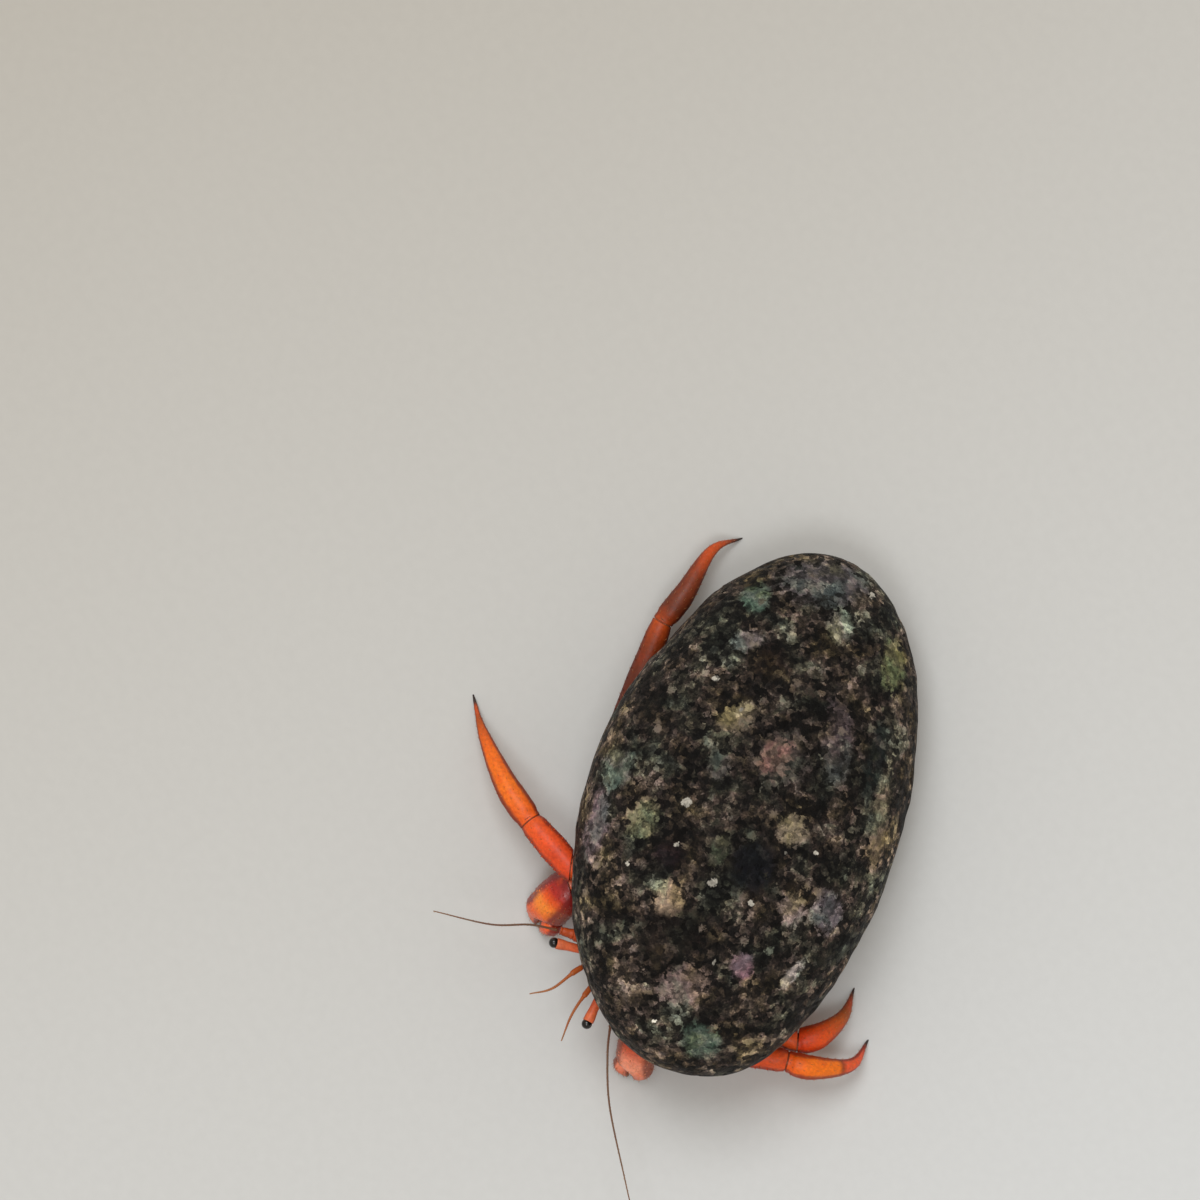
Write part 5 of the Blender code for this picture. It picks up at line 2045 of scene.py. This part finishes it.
@dataclass
class HindLegs(SubAssembly):
    """The short fourth and fifth legs that hold the crab in its pebble, on both sides."""

    fourth: Table = ((-2.3, -7.2, 3.7), (-4.7, -6.6, 4.8), (-5.4, -5.2, 5.6))
    fourth_radius: Table = ((0.0, 0.55), (0.4, 0.7), (1.0, 0.42))
    fifth: Table = ((-4.3, -5.2, 6.4), (-4.75, -6.8, 7.3), (-4.5, -9.2, 8.0))
    fifth_radius: Table = ((0.0, 0.4), (0.5, 0.45), (1.0, 0.3))

    def build(self) -> None:
        """Both short legs of both sides."""
        for side in Side:
            self.build_leg("fourth", side, self.fourth, self.fourth_radius)
            self.build_leg("fifth", side, self.fifth, self.fifth_radius)

    def build_leg(self, kind: str, side: Side, track: Table, radii: Table) -> None:
        """One short leg, waisted at its joints, with the rasp of granules near its tip.

        Args:
            kind: fourth or fifth.
            side: The crab's side that it is on.
            track: What its middle passes, drawn for the right side, with x from the midline.
            radii: Shares of its length with the radius there.
        """

        def waist(share: float, angle: float) -> float:
            """The waists between its segments."""
            return 0.99 - (0.2 * pinch(share * 4.0, 0.07) if 0.1 < share < 0.9 else 0.0)

        tube = limb_tube(Route([(MIDLINE - side.sign * x, y, z) for x, y, z in track]), radii, waist)
        skin = tube.skin(60, 22)
        for number in range(40):
            share = 0.78 + 0.2 * ((number * GOLDEN) % 1.0)
            angle = math.tau * ((number * GOLDEN_TURN) % 1.0)
            grow_granule(skin, *tube.foot(share, angle), 0.05, share)
        self.replace(f"{kind}_leg_{side.label}", skin, HEAD_CUTICLE)


@dataclass
class Studio:
    """A pale floor, soft light from the front of the view, and the camera straight above."""

    focus: tuple[float, float] = (-0.028465, 0.003422)  # metres, the point under the camera
    height: float = 0.7
    turn: float = math.radians(57.0)
    view_width: float = 0.1248  # metres seen across the frame, at ground_gap from the lens
    ground_gap: float = 0.69
    sensor: float = 36.0

    def build(self) -> None:
        """Floor, lamps, sky and camera."""
        floor = bmesh.new()
        bmesh.ops.create_grid(floor, x_segments=24, y_segments=24, size=1.6)
        ground = add_object("floor", floor)
        ground.data.materials.append(FLOOR.material())
        up = Vector((-math.sin(self.turn), math.cos(self.turn), 0.0))
        right = Vector((math.cos(self.turn), math.sin(self.turn), 0.0))
        target = Vector((*self.focus, 0.0))
        over = target + up * 0.5 - right * 0.12 - DOWNWARD * 1.1
        front = target - up * 0.35 - right * 0.1 - DOWNWARD
        self.lamp("overhead_softbox", over, target, 0.6, 7.0, "fcfdff")
        self.lamp("fill_softbox", front, target, 0.35, 2.6, "fafcff")
        world = bpy.data.worlds.new("studio_sky")
        world.use_nodes = True
        sky = world.node_tree.nodes["Background"]
        sky.inputs["Color"].default_value = linear("fff2e4")
        sky.inputs["Strength"].default_value = 0.5
        bpy.context.scene.world = world
        bpy.context.scene.view_settings.view_transform = "Standard"
        lens = bpy.data.cameras.new("view")
        lens.sensor_width = self.sensor
        lens.lens = self.sensor * self.ground_gap / self.view_width
        lens.clip_start, lens.clip_end = 0.01, 10.0
        camera = bpy.data.objects.new("view", lens)
        camera.location = (*self.focus, self.height)
        camera.rotation_euler = (0.0, 0.0, self.turn)
        bpy.context.scene.collection.objects.link(camera)
        bpy.context.scene.camera = camera
        log.info("studio: floor, two soft lamps, sky and camera")

    def lamp(self, name: str, place: Vector, target: Vector, size: float, power: float, colour: str) -> None:
        """One square softbox that faces the object.

        Args:
            name: The lamp's name.
            place: Where it hangs, in metres.
            target: What it faces.
            size: Its side, in metres.
            power: Its power in watts.
            colour: Its colour in hex.
        """
        light = bpy.data.lights.new(name, "AREA")
        light.shape, light.size, light.energy = "SQUARE", size, power
        light.color = linear(colour)[:3]
        lamp = bpy.data.objects.new(name, light)
        lamp.location = place
        lamp.rotation_euler = (place - target).to_track_quat("Z", "Y").to_euler()
        bpy.context.scene.collection.objects.link(lamp)


def main() -> None:
    """Build every part in order; each piece logs its face count."""
    logging.basicConfig(level=logging.INFO, format="%(name)s %(message)s")
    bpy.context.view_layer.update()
    Studio().build()
    Pebble().build()
    AbdomenAndThorax().build()
    BodyShield().build()
    for part in (*HEADS, *CLAW_ARMS, *LEGS, HindLegs()):
        part.build()


if __name__ == "__main__":
    main()
